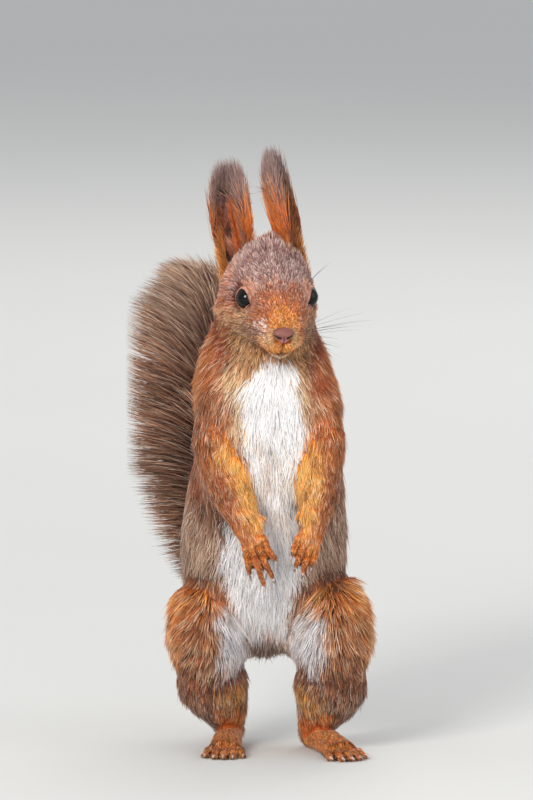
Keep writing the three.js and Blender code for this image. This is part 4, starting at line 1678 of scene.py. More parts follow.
def unwrapped(points: np.ndarray, start: tuple, end: tuple, column: int, columns: int) -> np.ndarray:
    """Lays points on the bake map by their angle round an axis and their place along it.

    Args:
        points: positions, one row each.
        start: where the axis starts.
        end: where it ends.
        column: which strip of the map.
        columns: how many strips the map has.

    Returns:
        One place on the map for each point.
    """
    axis = np.array(end, float) - np.array(start, float)
    length = np.linalg.norm(axis)
    axis /= length
    side = unit(np.cross(axis, np.array([0.3, 1.0, 0.2])))
    other = np.cross(axis, side)
    offset = points - np.array(start)
    angle = (np.arctan2(offset @ side, offset @ other) / FULL_TURN + 0.5) * 0.94 + 0.03
    rise = np.clip((offset @ axis) / length, -0.3, 1.3)
    return np.stack([(column + angle) / columns, 0.03 + 0.94 * (rise + 0.3) / 1.6], 1)


@dataclass
class Roots:
    """Places on a surface where tufts grow, with the values of the surface there."""

    points: np.ndarray
    normals: np.ndarray
    values: dict

    def taken(self, pick: np.ndarray) -> "Roots":
        """Returns only the picked places."""
        return Roots(self.points[pick], self.normals[pick], {k: v[pick] for k, v in self.values.items()})

    def away(self, lie: np.ndarray, reach: np.ndarray, rise: np.ndarray) -> np.ndarray:
        """Returns the points that lie so far from the roots along the coat and above the skin."""
        return self.points + lie * reach[:, None] + self.normals * rise[:, None]


def scatter(surface: Surface, density: np.ndarray, rng: np.random.Generator) -> Roots:
    """Spreads roots over a surface.

    Args:
        surface: where they grow.
        density: roots on a square millimetre, one number for each point of the surface.
        rng: the source of chance.

    Returns:
        The roots, with the surface's values carried over.
    """
    expected = surface.areas() * density[surface.triangles].mean(1)
    total = np.cumsum(expected)
    count = int(total[-1])
    picks = np.searchsorted(total, (np.arange(count) + rng.random(count)) / count * total[-1])
    picks = np.minimum(picks, len(expected) - 1)
    a, b = rng.random(count), rng.random(count)
    over = a + b > 1
    a[over], b[over] = 1 - a[over], 1 - b[over]
    shares = np.stack([1 - a - b, a, b], 1)
    corners = surface.triangles[picks]

    def carried(values: np.ndarray) -> np.ndarray:
        """Returns values at the roots."""
        if values.ndim == 1:
            return (values[corners] * shares).sum(1)
        return (values[corners] * shares[:, :, None]).sum(1)

    values = {name: carried(v) for name, v in surface.values.items()}
    return Roots(carried(surface.points), unit(carried(surface.normals())), values)


@dataclass
class Coat:
    """The short and middling fur of the body, from the nose to the toes."""

    skin: Skin
    eyes: tuple
    seed: int = 7
    lock_spacing: int = 8
    lock_pull: float = 0.40
    locks: np.ndarray = None
    side_jitter: float = 0.15
    evenness: float = 1.3
    face_fineness: float = 0.62
    cheeks: tuple = ((-19.0, 12.0, -6.0), (19.0, 12.0, -6.0))
    length_range: tuple = (0.72, 1.2)
    width_range: tuple = (0.7, 1.2)
    root_depth: float = 0.5
    guard_share: float = 0.06
    guard_length: float = 1.25
    guard_rise: float = 1.35
    guard_width: float = 0.75
    above_floor: float = 0.25
    lock_reach: float = 4.0
    own_share: float = 0.45
    parts: np.ndarray = None

    def lie(self) -> np.ndarray:
        """Returns the direction in which the coat lies at each point of the skin.

        Each part has its own direction, from the nose backwards and from the body to the paws, and these
        are evened out over the skin so that one runs into the next.
        """
        surface = self.skin.reference
        points, parts = surface.points, surface.values["parts"]
        normals = surface.normals()
        local = HEAD.local(points)
        flow = np.zeros_like(points)

        def share(*names: str) -> np.ndarray:
            """Returns how much each point belongs to the named parts, as a column."""
            return share_of(parts, *names)[:, None]

        def falling(sideways: np.ndarray, backwards: object) -> np.ndarray:
            """Returns directions that point down and lean so far sideways and backwards."""
            return unit(np.stack([sideways, backwards + 0 * sideways, -np.ones(len(points))], 1))

        x, y = points[:, 0], points[:, 1]
        spread = np.clip((x - MIDLINE_X - 1) / 24, -1, 1)
        back = ramp(y, -14, 6)
        flow += share("trunk") * falling(0.30 * spread * (1 - back), 0.15 + 0.25 * back)
        flow += share("neck") * falling(0.65 * spread, 0.1) * ramp(local[:, 2], -18, -26)[:, None]
        from_nose = local - np.array(NOSE_TIP)
        from_nose[:, 1] *= 0.8
        head_flow = HEAD.turned(unit(from_nose))
        head_flow[:, 2] -= 0.9 * ramp(local[:, 2], -6, -14) * ramp(local[:, 1], -20, -6)
        head_flow[:, 1] += 0.5 * ramp(local[:, 1], 0, 20)
        for cheek in self.cheeks:
            puff = 1.6 * blob(local, cheek, (8, 10, 12))[:, None]
            head_flow += puff * HEAD.turned(np.array([[math.copysign(0.9, cheek[0]), 0.1, -1.0]]))
        flow += (share("head") + share("neck")) * unit(head_flow) * ramp(local[:, 2], -30, -20)[:, None]
        flow += 3.0 * blob(points, CREST, (5, 5, 5))[:, None] * np.array([0.0, 1.0, 0.4])
        _, arm_heading, side = nearest_limb(points, BUILD.arms)
        arm_heading[:, 0] += 0.12 * side
        flow += share("upper_arm", "forearm", "forepaw") * arm_heading
        places, _, side = nearest_limb(points, BUILD.legs)
        fan = np.clip((x - places[:, 0]) / 16, -1, 1)
        flow += share("thigh") * falling(0.55 * fan + 0.12 * side, 0.15)
        flow += share("shank") * falling(-0.1 * side, 0.25)
        for sign, foot in zip((-1, 1), FEET):
            flow += share("hind_foot") * (foot.axes()[1] + np.array([0, 0, -0.15])) * (side == sign)[:, None]
        tail_share = BUILD.tail.nearest(points)
        flow += share(TAIL_CORE) * BUILD.tail.headings(tail_share)
        for eye in self.eyes:
            off = points - eye.middle
            gap = np.linalg.norm(off, axis=1, keepdims=True)
            flow += 2.2 * off / gap * np.exp(-(((gap - eye.radius) / 2.4) ** 2))
        flow = flattened(flow, normals)
        firm = 0.8 * np.clip(share("head", "forepaw", "hind_foot")[:, 0], 0, 1)
        for _ in range(8):
            flow = flattened(surface.smoothed(flow, 6, keep=firm), normals)
        return flow

    def fields(self) -> None:
        """Writes on the skin how long, wide, raised and dense its tufts are."""
        surface = self.skin.reference
        parts = surface.values["parts"]
        local = HEAD.local(surface.points)
        head, small = share_of(parts, "head"), share_of(parts, "forepaw", "hind_foot")

        def field_of(name: str) -> np.ndarray:
            """Returns a size of the coat, evened out between the parts."""
            return parts @ np.array([getattr(part_coat(n), name) for n in PARTS])

        length, width, depth, density = (field_of(n) for n in ("length", "width", "depth", "density"))
        towards_nose = head * ramp(local[:, 1], 6, -20)
        length, width = length * (1 - 0.64 * towards_nose), width * (1 - 0.22 * towards_nose)
        density = density * (1 + 0.9 * towards_nose)
        depth = depth * (1 - self.face_fineness * towards_nose)
        density = density * (1 - share_of(parts, TAIL_CORE) * 0.6)
        density = density * (1 - 0.30 * surface.normals()[:, 1])
        density[surface.points[:, 2] < 0.4] = 0
        for eye in self.eyes:
            gap, beyond = eye.opening(surface.points)
            fore, up, _ = eye.axes()
            bare = 8 + 6 * ramp(unit(surface.points - eye.middle) @ (fore * 0.7 + up * 0.8), -0.4, 0.1)
            density = density * np.where(gap < eye.NEAR, ramp(beyond - bare, 0, 8.5), 1)
            near_eye = np.exp(-(((gap - eye.radius) / 3.0) ** 2)) * (gap < 14)
            length, density = length * (1 - 0.5 * near_eye), density * (1 + 0.5 * near_eye)
        nose = blob(local, NOSE_TIP, (4.6, 4.2, 4.2))
        density[nose > 0.42] = 0
        line, cleft, off = Face().lips(local)
        density[(line > 0.5) & (off < 2.4) | (cleft > 0.6)] = 0
        muzzle = blob(local, (-1.2, -23, -13), (9, 6, 7))
        length = length * (1 - 0.35 * muzzle)
        crease, _, thumb = paw_features(surface.points)
        density = density * (1 - 0.9 * crease * small) * (1 - ramp(thumb, 0.3, 0.6))
        for cheek in self.cheeks:
            puff = blob(local, cheek, (8, 10, 12))
            length, depth = length + 3.6 * puff, depth + 1.7 * puff
        knee = np.max([blob(surface.points, *spot) for spot in self.skin.knees], axis=0)
        length, depth = length * (1 - 0.3 * knee), depth * (1 - 0.25 * knee)
        crest = blob(surface.points, CREST, (5, 6, 5))
        length, depth = length + 4.0 * crest, depth * (1 + 2.8 * crest)
        wrist = share_of(parts, "forearm") * ramp(surface.points[:, 2], 110, 102)
        wrist = wrist * ramp(surface.normals()[:, 1], -0.3, 0.3)
        length, depth = length * (1 - 0.6 * wrist), depth * (1 - 0.6 * wrist)
        chest = share_of(parts, "trunk", "neck") * ramp(surface.points[:, 1], -14, -24)
        surface.values["chest"] = chest
        length = length * (1 + 0.2 * chest)
        sizes = surface.smoothed(np.stack([length, width, depth], 1), 70, keep=np.clip(small + head, 0, 0.96))
        length, width, depth = sizes.T
        surface.values.update(length=length, width=width, depth=depth, density=density, lie=self.lie())

    def grown(self) -> Tufts:
        """Grows every tuft of the body's coat.

        Returns:
            The tufts; self.parts then tells which parts they are rooted on.
        """
        rng = np.random.default_rng(self.seed)
        surface = self.skin.reference
        roots = scatter(surface, surface.values["density"], rng)
        count = len(roots.points)
        lie = flattened(roots.values["lie"], roots.normals)
        across = np.cross(roots.normals, lie)
        sway = (lattice_noise(roots.points, 4.0, 21) - 0.5) * 0.7
        swerve = rng.normal(0, self.side_jitter, count) + sway
        lie = unit(lie + across * swerve[:, None])
        across = np.cross(lie, roots.normals)
        chest = roots.values["chest"]
        layer = rng.random(count)
        length = roots.values["length"] * rng.uniform(*self.length_range, count)
        guard = rng.random(count) < self.guard_share
        length *= np.where(guard, self.guard_length, 1.0)
        rise = roots.values["depth"] * (0.35 + 0.75 * layer) * np.where(guard, self.guard_rise, 1.0)
        rise = rise * (1 - chest) + chest * roots.values["depth"] * (0.5 + 0.5 * layer)
        base = roots.points - roots.normals * self.root_depth
        bend = roots.away(lie, length * 0.38, rise * 0.72)
        tips = roots.away(lie, length, rise)
        tips = self.gathered(roots.points, tips, 1 - 0.6 * chest, rng)
        tips = tips + across * (rng.normal(0, 0.05, count) * length)[:, None]
        for ends in (bend, tips):
            ends[:, 2] = np.maximum(ends[:, 2], self.above_floor)
        weights = Markings(roots.points, roots.values["parts"]).solve()
        weights = self.mingled(roots.points, weights, rng)
        tick = self.ticking(weights, rng)
        lock_shade = rng.random(count)[self.locks]
        # vary: a random tone for each lock, and painted shade that darkens the tufts lying low in the coat,
        # since layer also sets how high each tuft rises
        vary = np.clip(-0.02 + 0.56 * layer + 0.46 * lock_shade + rng.normal(0, 0.08, count), 0, 1)
        self.parts = roots.values["parts"]
        width = roots.values["width"] * rng.uniform(*self.width_range, count)
        width = width * np.where(guard, self.guard_width, 1.0)
        upright = ramp(rise / length, 0.25, 0.5)[:, None]
        facing = unit(roots.normals * (1 - upright) + np.cross(across, unit(tips - roots.points)) * upright)
        return Tufts(base, (bend,), tips, width, across, facing, weights, vary, tick, np.zeros((count, 2)),
                     evenness=self.evenness)

    def gathered(self, roots: np.ndarray, tips: np.ndarray, loose: np.ndarray,
                 rng: np.random.Generator) -> np.ndarray:
        """Draws the tips of neighbouring tufts together into locks.

        Args:
            roots: where the tufts grow.
            tips: where they end.
            loose: how strongly each is drawn, 0 to 1.
            rng: the source of chance.

        Returns:
            The tips, drawn part of the way to their lock's own.
        """
        leaders = rng.choice(len(roots), len(roots) // self.lock_spacing, replace=False)
        tree = nearest_tree(roots[leaders])
        mine = leaders[np.array([tree.find(p)[1] for p in roots.tolist()])]
        self.locks = mine
        near = np.linalg.norm(roots - roots[mine], axis=1) < self.lock_reach
        pull = self.lock_pull * rng.uniform(0.4, 1.2, len(roots)) * near * loose
        return tips + (tips[mine] - tips) * pull[:, None] * 0.8

    def mingled(self, points: np.ndarray, weights: np.ndarray, rng: np.random.Generator) -> np.ndarray:
        """Makes each tuft mostly one colour, chosen by chance in the shares that its place has."""
        total = np.cumsum(weights, axis=1)
        draw = rng.random(len(points))
        draw = np.where(rng.random(len(points)) < 0.5, draw[self.locks], draw) * total[:, -1]
        chosen = (total < draw[:, None]).sum(1).clip(0, weights.shape[1] - 1)
        return self.own_share * weights + (1 - self.own_share) * np.eye(weights.shape[1])[chosen]

    def ticking(self, weights: np.ndarray, rng: np.random.Generator) -> np.ndarray:
        """Returns for each tuft how pale, above 0, or dark, below 0, its tip is."""
        pale = {Marking.AGOUTI: 0.24, Marking.MAUVE: 0.42, Marking.OLIVE: 0.28,
                Marking.RUFOUS: 0.18, Marking.GOLD: 0.18, Marking.ORANGE: 0.14,
                Marking.ASH: 0.2, Marking.TAIL: 0.2, Marking.DARK: 0.08}
        dark = {Marking.AGOUTI: 0.24, Marking.MAUVE: 0.26, Marking.OLIVE: 0.16,
                Marking.RUFOUS: 0.16, Marking.GOLD: 0.10, Marking.ORANGE: 0.12,
                Marking.ASH: 0.07, Marking.TAIL: 0.3, Marking.WHITE: 0.01}
        odds_pale = sum(weights[:, m.value] * v for m, v in pale.items())
        odds_dark = sum(weights[:, m.value] * v for m, v in dark.items())
        draw = rng.random(len(weights))
        draw = np.where(rng.random(len(weights)) < 0.5, draw[self.locks], draw)
        strength = rng.uniform(0.4, 1.0, len(weights))
        return np.where(draw < odds_pale, strength, np.where(draw > 1 - odds_dark, -strength, 0.0))

    def build(self, finish: bpy.types.Material) -> list:
        """Builds the coat in pieces, each a region of the body.

        Args:
            finish: the hair's material.

        Returns:
            The pieces.
        """
        self.fields()
        tufts = self.grown()
        names = np.array(PARTS)[self.parts.argmax(1)]
        roots, local = tufts.roots, HEAD.local(tufts.roots)
        head, trunk = names == "head", np.isin(names, ("trunk", "neck"))
        face = head & (local[:, 1] < -3)
        chest = trunk & (roots[:, 1] < -16)
        low, high = (6, -14, 40), (6, -18, 180)
        groups = [("face", face, local, (0, -28, -10), (0, 0, -5)),
                  ("crown", head & ~face, local, (0, -4, -5), (0, 26, -5)),
                  ("chest", chest, roots, low, high), ("back", trunk & ~chest, roots, low, high)]
        for side, arm, leg in zip(SIDES, BUILD.arms, BUILD.legs):
            for name, limb, limb_parts in (("arm", arm, ("upper_arm", "forearm", "forepaw")),
                                           ("leg", leg, ("thigh", "shank", "hind_foot"))):
                mask = np.isin(names, [f"{part}_{side}" for part in limb_parts])
                groups.append((f"{name}_{side}", mask, roots, limb.stations[0], limb.stations[-1]))
        groups.append(("tail_root", names == TAIL_CORE, roots, (6, 20, 40), (-10, 45, 180)))
        pieces = []
        for name, mask, places, start, end in groups:
            pick = np.flatnonzero(mask)
            some = replace(tufts.taken(pick), patches=unwrapped(places[pick], start, end, 0, 1))
            pieces.append(some.piece(f"coat_{name}", finish, Slot.COAT))
        return pieces


@dataclass
class EarHair:
    """The fur on the ears' shells and the long tufts on top of them."""

    seed: int = 17
    density: float = 5.6
    width: float = 0.28
    root_depth: float = 0.35
    tuft_count: int = 4600
    tuft_widths: tuple = (0.18, 0.32)
    longest: float = 27.0

    def fur(self, ear: Ear, rng: np.random.Generator) -> Tufts:
        """Grows the ear's own short fur.

        Args:
            ear: which ear.
            rng: the source of chance.

        Returns:
            The tufts.
        """
        shell = ear.shell()
        weights = ear.marked(shell)
        amount = self.density * (1 - 0.9 * ramp(ear.hollow(shell), 0.2, 0.6))
        amount = amount * (1 + 0.8 * ramp(shell.values["rim"], 0.75, 1.0))
        amount = amount * ramp(shell.values["rise"], 0.02, 0.10)
        shell.values["weights"] = weights
        roots = scatter(shell, amount, rng)
        count = len(roots.points)
        path = Path(ear.stations)
        shares = path.nearest(roots.points)
        heading = path.headings(shares)
        out, across_ear = ear.frame_at(heading)
        sign = np.sign(((roots.points - path.at(shares)[:, :3]) * across_ear).sum(1))[:, None]
        rim_share = roots.values["rim"]
        fan = across_ear * sign * (0.35 + 0.5 * rim_share[:, None]) + out * 0.25 * rim_share[:, None]
        lie = flattened(heading + fan * 0.8 + rng.normal(0, 0.12, (count, 3)), roots.normals)
        across = np.cross(lie, roots.normals)
        fore = roots.values["fore"]
        length = 2.4 + 2.4 * ramp(rim_share, 0.6, 1.0) + 2.2 * roots.values["rise"] + 1.2 * ramp(fore, 0, 0.6)
        length = length * rng.uniform(0.7, 1.25, count)
        layer = rng.random(count)
        filled = roots.values["inside"] * (0.5 + 0.5 * ramp(fore, -0.2, 0.1))
        rise_out = (0.6 + 0.8 * ramp(rim_share, 0.6, 1.0) + 1.0 * filled) * (0.3 + layer)
        base = roots.points - roots.normals * self.root_depth
        bend = roots.away(lie, length * 0.4, rise_out * 0.7)
        tips = roots.away(lie, length, rise_out)
        # painted shade: the ear's hairs that lie low, by layer, are darker
        vary = np.clip(0.2 + 0.6 * layer + rng.normal(0, 0.1, count), 0, 1)
        chance = rng.random(count)
        tick = np.where(chance < 0.08, 0.4, np.where(chance > 0.88, -0.6, 0.0))
        patches = unwrapped(roots.points, ear.stations[0][:3], ear.stations[-1][:3], SIDES.index(ear.side), 2)
        width = self.width * rng.uniform(0.75, 1.25, count)
        return Tufts(base, (bend,), tips, width, across, roots.normals, roots.values["weights"], vary, tick,
                     patches, evenness=1.0, tint_span=(0.12, 0.72))

    def long_tuft(self, ear: Ear, rng: np.random.Generator) -> Tufts:
        """Grows the long tuft on top of an ear, its tips inside the tuft's outline.

        Args:
            ear: which ear.
            rng: the source of chance.

        Returns:
            The tufts.
        """
        count = self.tuft_count
        spine, plume = Path(ear.stations), Path(ear.tuft)
        start = 0.42 + 0.56 * rng.random(count) ** 0.8
        rows = spine.at(start)
        out, across = ear.frame_at(spine.headings(start))
        angles = rng.uniform(-1.75, 1.75, count)
        ring = across * np.sin(angles)[:, None] - out * np.cos(angles)[:, None]
        roots = rows[:, :3] + (across * (np.sin(angles) * rows[:, 3])[:, None]
                               - out * ((np.cos(angles) - 0.25) * rows[:, 4])[:, None]) * 0.96
        end = 0.06 + 0.92 * start * rng.uniform(0.62, 1.2, count) + rng.normal(0, 0.08, count)
        end = np.clip(end, 0.1, 1.0)
        goals = plume.at(end)
        reach = np.sqrt(rng.uniform(0.02, 1.0, count)) * rng.uniform(0.9, 1.16, count)
        goal_out, goal_across = ear.frame_at(plume.headings(end))
        bearing = angles + rng.normal(0, 0.45, count)
        tips = goals[:, :3] + (goal_across * (np.sin(bearing) * goals[:, 3] * reach)[:, None]
                               - goal_out * (np.cos(bearing) * goals[:, 4] * reach)[:, None])
        tips = tips - plume.headings(end) * (2.0 * reach**2 * end)[:, None] + rng.normal(0, 0.9, (count, 3))
        gap = np.linalg.norm(tips - roots, axis=1)
        stray = np.where(rng.random(count) < 0.05, 1.12, 1.0)
        tips = roots + (tips - roots) * (np.minimum(gap * stray, self.longest) / gap)[:, None]
        heading = unit(tips - roots)
        swell = ring * (np.linalg.norm(tips - roots, axis=1) * 0.07)[:, None]
        bends = (roots + (tips - roots) * 0.30 + swell, roots + (tips - roots) * 0.68 + swell * 0.8)
        side = unit(np.cross(heading, ring))
        orange = ramp(start + 0.25 * rng.random(count), 0.86, 0.66)
        weights = weighed(count, {Marking.MAUVE: 0.75 * (1 - orange), Marking.TAIL: 0.25 * (1 - orange),
                                  Marking.ORANGE: 0.92 * orange, Marking.GOLD: 0.08 * orange})
        # painted shade inside the tuft: hairs whose tips stay near its axis are darker than those that reach
        # its outline
        vary = np.clip(0.18 + 0.45 * reach + 0.2 * orange + rng.normal(0, 0.16, count), 0, 1)
        chance = rng.random(count)
        tick = np.where(chance < 0.16, 0.6, np.where(chance > 0.78, -0.7, 0.0)) * (1 - 0.9 * orange)
        patches = unwrapped(roots, ear.stations[0][:3], ear.tuft[-1][:3], SIDES.index(ear.side), 2)
        return Tufts(roots - ring * 0.3, bends, tips, rng.uniform(*self.tuft_widths, count), side,
                     np.cross(side, heading), weights, vary, tick, patches, (0.3, 0.68), (1.0, 0.8), 0.5,
                     tint_span=(0.3, 0.9))

    def build(self, short: bpy.types.Material, long: bpy.types.Material) -> list:
        """Builds both ears' fur and tufts.

        Args:
            short: the coat's material.
            long: the long hair's material.

        Returns:
            The pieces.
        """
        rng = np.random.default_rng(self.seed)
        furs = [self.fur(ear, rng) for ear in EARS]
        plumes = [self.long_tuft(ear, rng) for ear in EARS]
        pieces = []
        for ear, fur, plume in zip(EARS, furs, plumes):
            pieces.append(fur.piece(f"ear_fur_{ear.side}", short, Slot.COAT))
            tuft = plume.piece(f"ear_plume_{ear.side}", long, Slot.LONG_HAIR)
            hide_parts(f"ear_tuft_{ear.side}")
            pieces.append(tuft)
        return pieces


@dataclass
class TailHair:
    """The brush: long hair that parts to both sides of the tail's core."""

    seed: int = 27
    full: np.ndarray = None
    count: int = 34000
    fill_share: float = 0.45
    full_reach: tuple = (0.84, 1.08)
    fill_reach: tuple = (0.40, 0.86)
    widths: tuple = (0.20, 0.36)
    above_floor: float = 0.4
    first_share: float = 0.05
    span_share: float = 0.91
    widening: float = 1.08
    pale_from: tuple = (0.66, 0.92)

    def grown(self) -> Tufts:
        """Grows the long hair, its tips filling the brush's outline.

        Returns:
            The hairs.
        """
        rng = np.random.default_rng(self.seed)
        line, count = BUILD.tail, self.count
        along = np.sort(self.first_share + self.span_share * rng.random(count))
        angles = rng.uniform(0, FULL_TURN, count)
        angles = angles - 0.30 * np.sin(2 * angles)
        rows, headings = line.at(along), line.headings(along)
        sideways = np.array([1.0, 0.12, 0.0])
        wide_axis = unit(sideways - headings * (headings @ sideways)[:, None])
        deep_axis = np.cross(headings, wide_axis)
        bunch = np.stack([along * 60, np.cos(angles) * 3, np.sin(angles) * 3], 1)
        clump = lattice_noise(bunch, 1.0, 41) - 0.5
        angles = angles + clump * 0.25
        ring = wide_axis * np.cos(angles)[:, None] + deep_axis * np.sin(angles)[:, None]
        core = BUILD.core_radii(along) * 0.8
        roots = rows[:, :3] + ring * core[:, None]
        self.full = rng.random(count) > self.fill_share
        reach = np.where(self.full, rng.uniform(*self.full_reach, count),
                         rng.uniform(*self.fill_reach, count))
        sweep = np.interp(along, (0, 0.35, 0.6, 0.85, 1.0), (0.01, 0.02, 0.06, 0.10, 0.08))
        sweep = sweep * (0.6 + 0.6 * np.abs(np.sin(angles))) + clump * 0.03
        end = np.clip(along + sweep * reach * rng.uniform(0.7, 1.3, count), 0, 1)
        goals = line.at(end)
        tips = goals[:, :3] + (wide_axis * (np.cos(angles) * goals[:, 3] * reach * self.widening)[:, None]
                               + deep_axis * (np.sin(angles) * goals[:, 4] * reach)[:, None])
        tips = tips + line.headings(end) * (10 * (1 - reach**2) * ramp(end, 0.88, 1.0))[:, None]
        tips = tips + rng.normal(0, 1.0, (count, 3))
        tips[:, 2] = np.maximum(tips[:, 2], self.above_floor)
        span = tips - roots
        gap = np.linalg.norm(span, axis=1)
        lift = headings * (gap * 0.10)[:, None]
        bends = (roots + span * 0.36 + ring * (gap * 0.04)[:, None] - lift * 0.2,
                 roots + span * 0.74 + ring * (gap * 0.02)[:, None] + lift * 0.05)
        facing = unit(span)
        side = unit(np.cross(facing, deep_axis + 0.3 * rng.normal(0, 1, (count, 3))))
        red = 0.35 * lattice_noise(roots, 18.0, 51)
        weights = weighed(count, {Marking.TAIL: 1.0 - red, Marking.RUFOUS: red})
        pale = ramp(along, *self.pale_from)
        lay_over(weights, Marking.AGOUTI, pale * rng.uniform(0.3, 1.0, count))
        vary = np.clip(0.48 + clump * 0.6 + 0.3 * pale + rng.normal(0, 0.22, count), 0, 1)
        chance = rng.random(count)
        tick = np.where(chance < 0.30, rng.uniform(0.2, 0.9, count), np.where(chance > 0.7, -0.6, 0.0))
        patches = np.stack([0.03 + 0.94 * ((angles / FULL_TURN) % 1.0), 0.03 + 0.94 * along], 1)
        return Tufts(roots - ring * 0.4, bends, tips, rng.uniform(*self.widths, count), side,
                     np.cross(side, facing), weights, vary, tick, patches, (0.36, 0.74), (1.0, 0.85), 0.4)

    def build(self, finish: bpy.types.Material) -> list:
        """Builds the brush in two lengths.

        Args:
            finish: the long hair's material.

        Returns:
            The pieces.
        """
        hairs = self.grown()
        lower = np.arange(self.count) < self.count // 2
        pieces = []
        for name, mask, nodes in (("brush_lower", lower & self.full, ("tail_root", "tail_middle")),
                                  ("brush_upper", ~lower & self.full, ("tail_tip",))):
            piece = hairs.taken(np.flatnonzero(mask)).piece(name, finish, Slot.LONG_HAIR)
            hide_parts(*nodes)
            pieces.append(piece)
        inner = hairs.taken(np.flatnonzero(~self.full))
        inner.bends, inner.bend_shares, inner.bend_widths = inner.bends[:1], inner.bend_shares[:1], (1.1,)
        pieces.append(inner.piece("brush_inner", finish, Slot.LONG_HAIR))
        return pieces


@dataclass
class Nose:
    """The bare pad at the end of the muzzle, with two comma-shaped nostrils."""

    middle: tuple = (-1.2, -24.6, -7.7)
    half_width: float = 4.7
    half_height: float = 3.5
    half_depth: float = 2.6
    rows: int = 56

    def build(self, finish: bpy.types.Material) -> bpy.types.Object:
        """Builds the pad.

        Args:
            finish: the nose leather's material.

        Returns:
            The piece.
        """
        ball = globe(self.rows)
        u, w, v = (ball.points * np.array([1, 1, -1])).T
        flat = 1.0 + 0.06 * ramp(w, 0.2, 0.9)
        narrow = 1.0 - 0.46 * ramp(w, 0.45, -0.9)
        tall = w * self.half_height * (1 - 0.16 * np.abs(u) ** 3 * (w < 0)) - 0.35 * (w > 0) * (1 - u**2)
        shape = np.stack([u * self.half_width * narrow * flat, v * self.half_depth, tall], 1)
        crease = np.exp(-((u / 0.09) ** 2)) * ramp(w, 0.3, -0.5)
        shape[:, 1] += crease * 0.7 * (v < 0)
        hollow, front = np.zeros(len(shape)), np.stack([u, w], 1)
        for side in (-1, 1):
            core = blob(front, (side * 0.54, -0.28), (0.24, 0.22))
            tail = blob(front, (side * 0.80, -0.06), (0.18, 0.13))
            hollow = np.maximum(hollow, np.clip(core + 0.8 * tail, 0, 1) * (v < 0))
            wing = blob(front, (side * 0.52, 0.28), (0.30, 0.22)) * (v < 0)
            shape[:, 1] -= wing * 0.35
        shape[:, 1] += hollow * 1.5
        ball.points = HEAD.placed(shape + np.array(self.middle))
        ball = outward_facing(ball)
        ball.values["low"] = ramp(w, -0.1, -0.8)
        # hollow: where painted shade darkens the nostrils and the groove below the pad's middle
        ball.values["hollow"] = np.maximum(ramp(hollow, 0.2, 0.5), 0.6 * crease * (v < 0))
        piece = add_piece(to_mesh("nose_pad", ball), finish)
        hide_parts("nose")
        return piece


@dataclass
class Whiskers:
    """Fine tapering whiskers on the muzzle and the brows."""

    seed: int = 37
    thickness: float = 0.15
    steps: int = 9
    limit: float = 51.6

    def bristles(self) -> list:
        """Returns each whisker as its root, its direction and its length, in the head's frame."""
        rng = np.random.default_rng(self.seed)
        found = []
        for side in (-1, 1):
            for row in range(4):
                for k in range(4):
                    root = np.array([side * (6.6 + 1.0 * k) - 1.0, -20.6 + 1.7 * k, -8.2 - 1.35 * row])
                    aim = np.array([side * 1.0, 0.12 + 0.10 * k, 0.30 - 0.22 * row])
                    aim = unit(aim + rng.normal(0, 0.07, 3))
                    found.append((root, aim, rng.uniform(20, 36) * (1 - 0.10 * row)))
            for k in range(3):
                root = np.array([side * (10.5 + 0.8 * k), -5.0 + 1.4 * k, 7.0])
                aim = unit(np.array([side * 0.8, -0.1, 0.75 + 0.1 * k]) + rng.normal(0, 0.08, 3))
                found.append((root, aim, rng.uniform(11, 17)))
        return found

    def build(self, finish: bpy.types.Material) -> bpy.types.Object:
        """Builds the whiskers as one piece.

        Args:
            finish: their material.

        Returns:
            The piece.
        """
        shells = []
        droop, shares = np.array([0, 0.25, -0.22]), np.linspace(0, 1, self.steps)
        radii = self.thickness * (1 - 0.85 * shares) / 2
        for root, aim, length in self.bristles():
            spine = root + aim * (shares * length)[:, None] + droop * (shares**2 * length * 0.5)[:, None]
            spine = HEAD.placed(spine)
            widest = np.abs(spine[:, 0]).max()
            if widest >= self.limit:
                spine = spine[0] + (spine - spine[0]) * (self.limit / widest * 0.97)
            shells.append(tube(spine, unit(np.gradient(spine, axis=0)), radii, (0.1, 0.2, 1.0), 5))
        return add_piece(to_mesh("whiskers", joined(shells)), finish)


# ---------------------------------------------------------------- studio


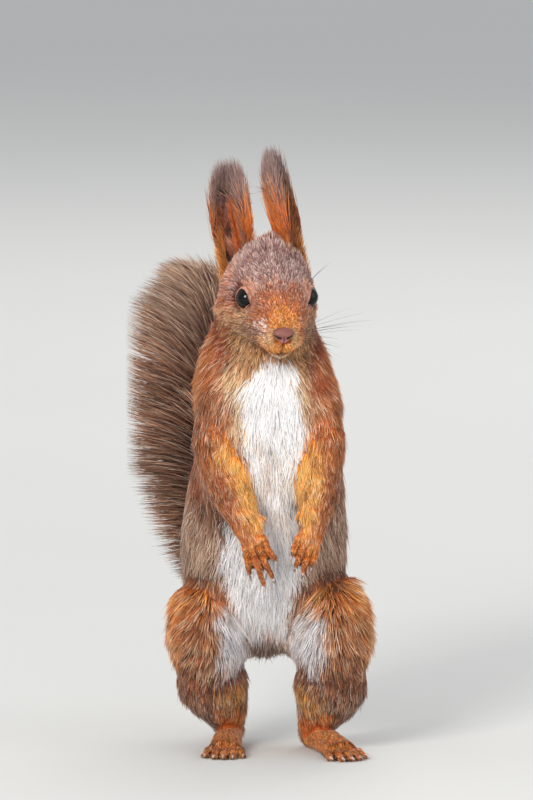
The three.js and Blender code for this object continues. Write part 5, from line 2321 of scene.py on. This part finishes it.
@dataclass(frozen=True)
class Studio:
    """The floor, the soft lights and the camera."""

    pitch_deg: float = 7.0
    distance: float = 5000.0
    frame_height: float = 329.0
    aim: tuple = (5.84, -20.0, 145.6)
    floor_size: float = 30.0

    def floor(self, finish: bpy.types.Material) -> None:
        """Lays the floor."""
        mesh = bpy.data.meshes.new("floor")
        half = self.floor_size / 2
        corners = [(-half, -half, 0), (half, -half, 0), (half, half, 0), (-half, half, 0)]
        mesh.from_pydata(corners, [], [(0, 1, 2, 3)])
        mesh.materials.append(finish)
        floor = in_scene("floor", mesh)

    def light(self, name: str, place: tuple, size: float, power: float, colour: tuple) -> None:
        """Hangs a square soft light that faces the squirrel.

        Args:
            name: the light's name.
            place: where it is, in metres.
            size: its side, in metres.
            power: its strength in watts.
            colour: its colour, linear.
        """
        data = bpy.data.lights.new(name, "AREA")
        data.size, data.energy, data.color = size, power, colour
        lamp = in_scene(name, data)
        lamp.location = place
        lamp.rotation_euler = (Vector((0, 0, 0.12)) - Vector(place)).to_track_quat("-Z", "Y").to_euler()

    def lights(self) -> None:
        """Hangs the lights and sets the even glow all round."""
        self.light("key", (-0.85, -1.75, 1.05), 0.7, 36.0, (1.0, 0.98, 0.95))
        self.light("fill", (0.45, -1.9, 0.25), 0.9, 13.0, (0.98, 0.98, 1.0))
        self.light("side", (1.6, -0.6, 0.7), 1.2, 6.0, (0.97, 0.98, 1.0))
        self.light("back", (0.3, 1.6, 1.5), 1.4, 16.0, (1.0, 0.99, 0.97))
        world = bpy.data.worlds.new("studio")
        world.use_nodes = True
        glow = world.node_tree.nodes["Background"]
        glow.inputs["Color"].default_value = (0.90, 0.95, 1.0, 1.0)
        glow.inputs["Strength"].default_value = 0.68
        bpy.context.scene.world = world
        bpy.context.scene.view_settings.view_transform = "Standard"

    def camera(self) -> None:
        """Sets the camera: long lens, a little above the floor, looking slightly down."""
        pitch = math.radians(self.pitch_deg)
        data = bpy.data.cameras.new("camera")
        data.sensor_width = 36.0
        data.lens = data.sensor_width * self.distance / self.frame_height
        data.clip_end = 100.0
        camera = in_scene("camera", data)
        back = Vector((0, -math.cos(pitch), math.sin(pitch)))
        camera.location = (Vector(self.aim) + back * self.distance) * MM
        camera.rotation_euler = (math.radians(90) - pitch, 0, 0)
        bpy.context.scene.camera = camera


def main() -> None:
    """Builds the squirrel and its studio in order."""
    logging.basicConfig(level=logging.INFO, format="%(name)s %(message)s")
    effects = Effects.made()
    coat = HairFinish("coat", 0.62, 0.25, sheen=0.12).made(effects)
    hide = HairFinish("hide", 0.8, 0.15, nap_strength=0.6).made(effects)
    long_hair = HairFinish("long_hair", 0.58, 0.25, sheen=0.12).made(effects)
    nose = NoseFinish("nose_leather", 0.42, 0.5).made(effects)
    eye = EyeFinish("wet_eye", 0.04, 0.25).made(effects)
    horn = HornFinish("horn", 0.4, 0.4).made(effects)
    bristle = PlainFinish("bristle", 0.45, 0.4, (42, 34, 32), (70, 58, 52), 300.0).made(effects)
    pale = PlainFinish("pale_floor", 0.9, 0.1, (212, 210, 206), (211, 209, 205), 3.0).made(effects)
    eyes = tuple(Eye(side) for side in SIDES)
    skin = Skin(eyes=eyes)
    skin.build(hide)
    for ball in eyes:
        ball.ball(eye)
    Coat(skin, eyes).build(coat)
    EarHair().build(coat, long_hair)
    TailHair().build(long_hair)
    Nose().build(nose)
    Whiskers().build(bristle)
    for name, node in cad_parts.items():
        if "claw" in name:
            node.data.materials.clear()
            node.data.materials.append(horn)
    studio = Studio()
    studio.floor(pale)
    studio.lights()
    studio.camera()


if __name__ == "__main__":
    main()
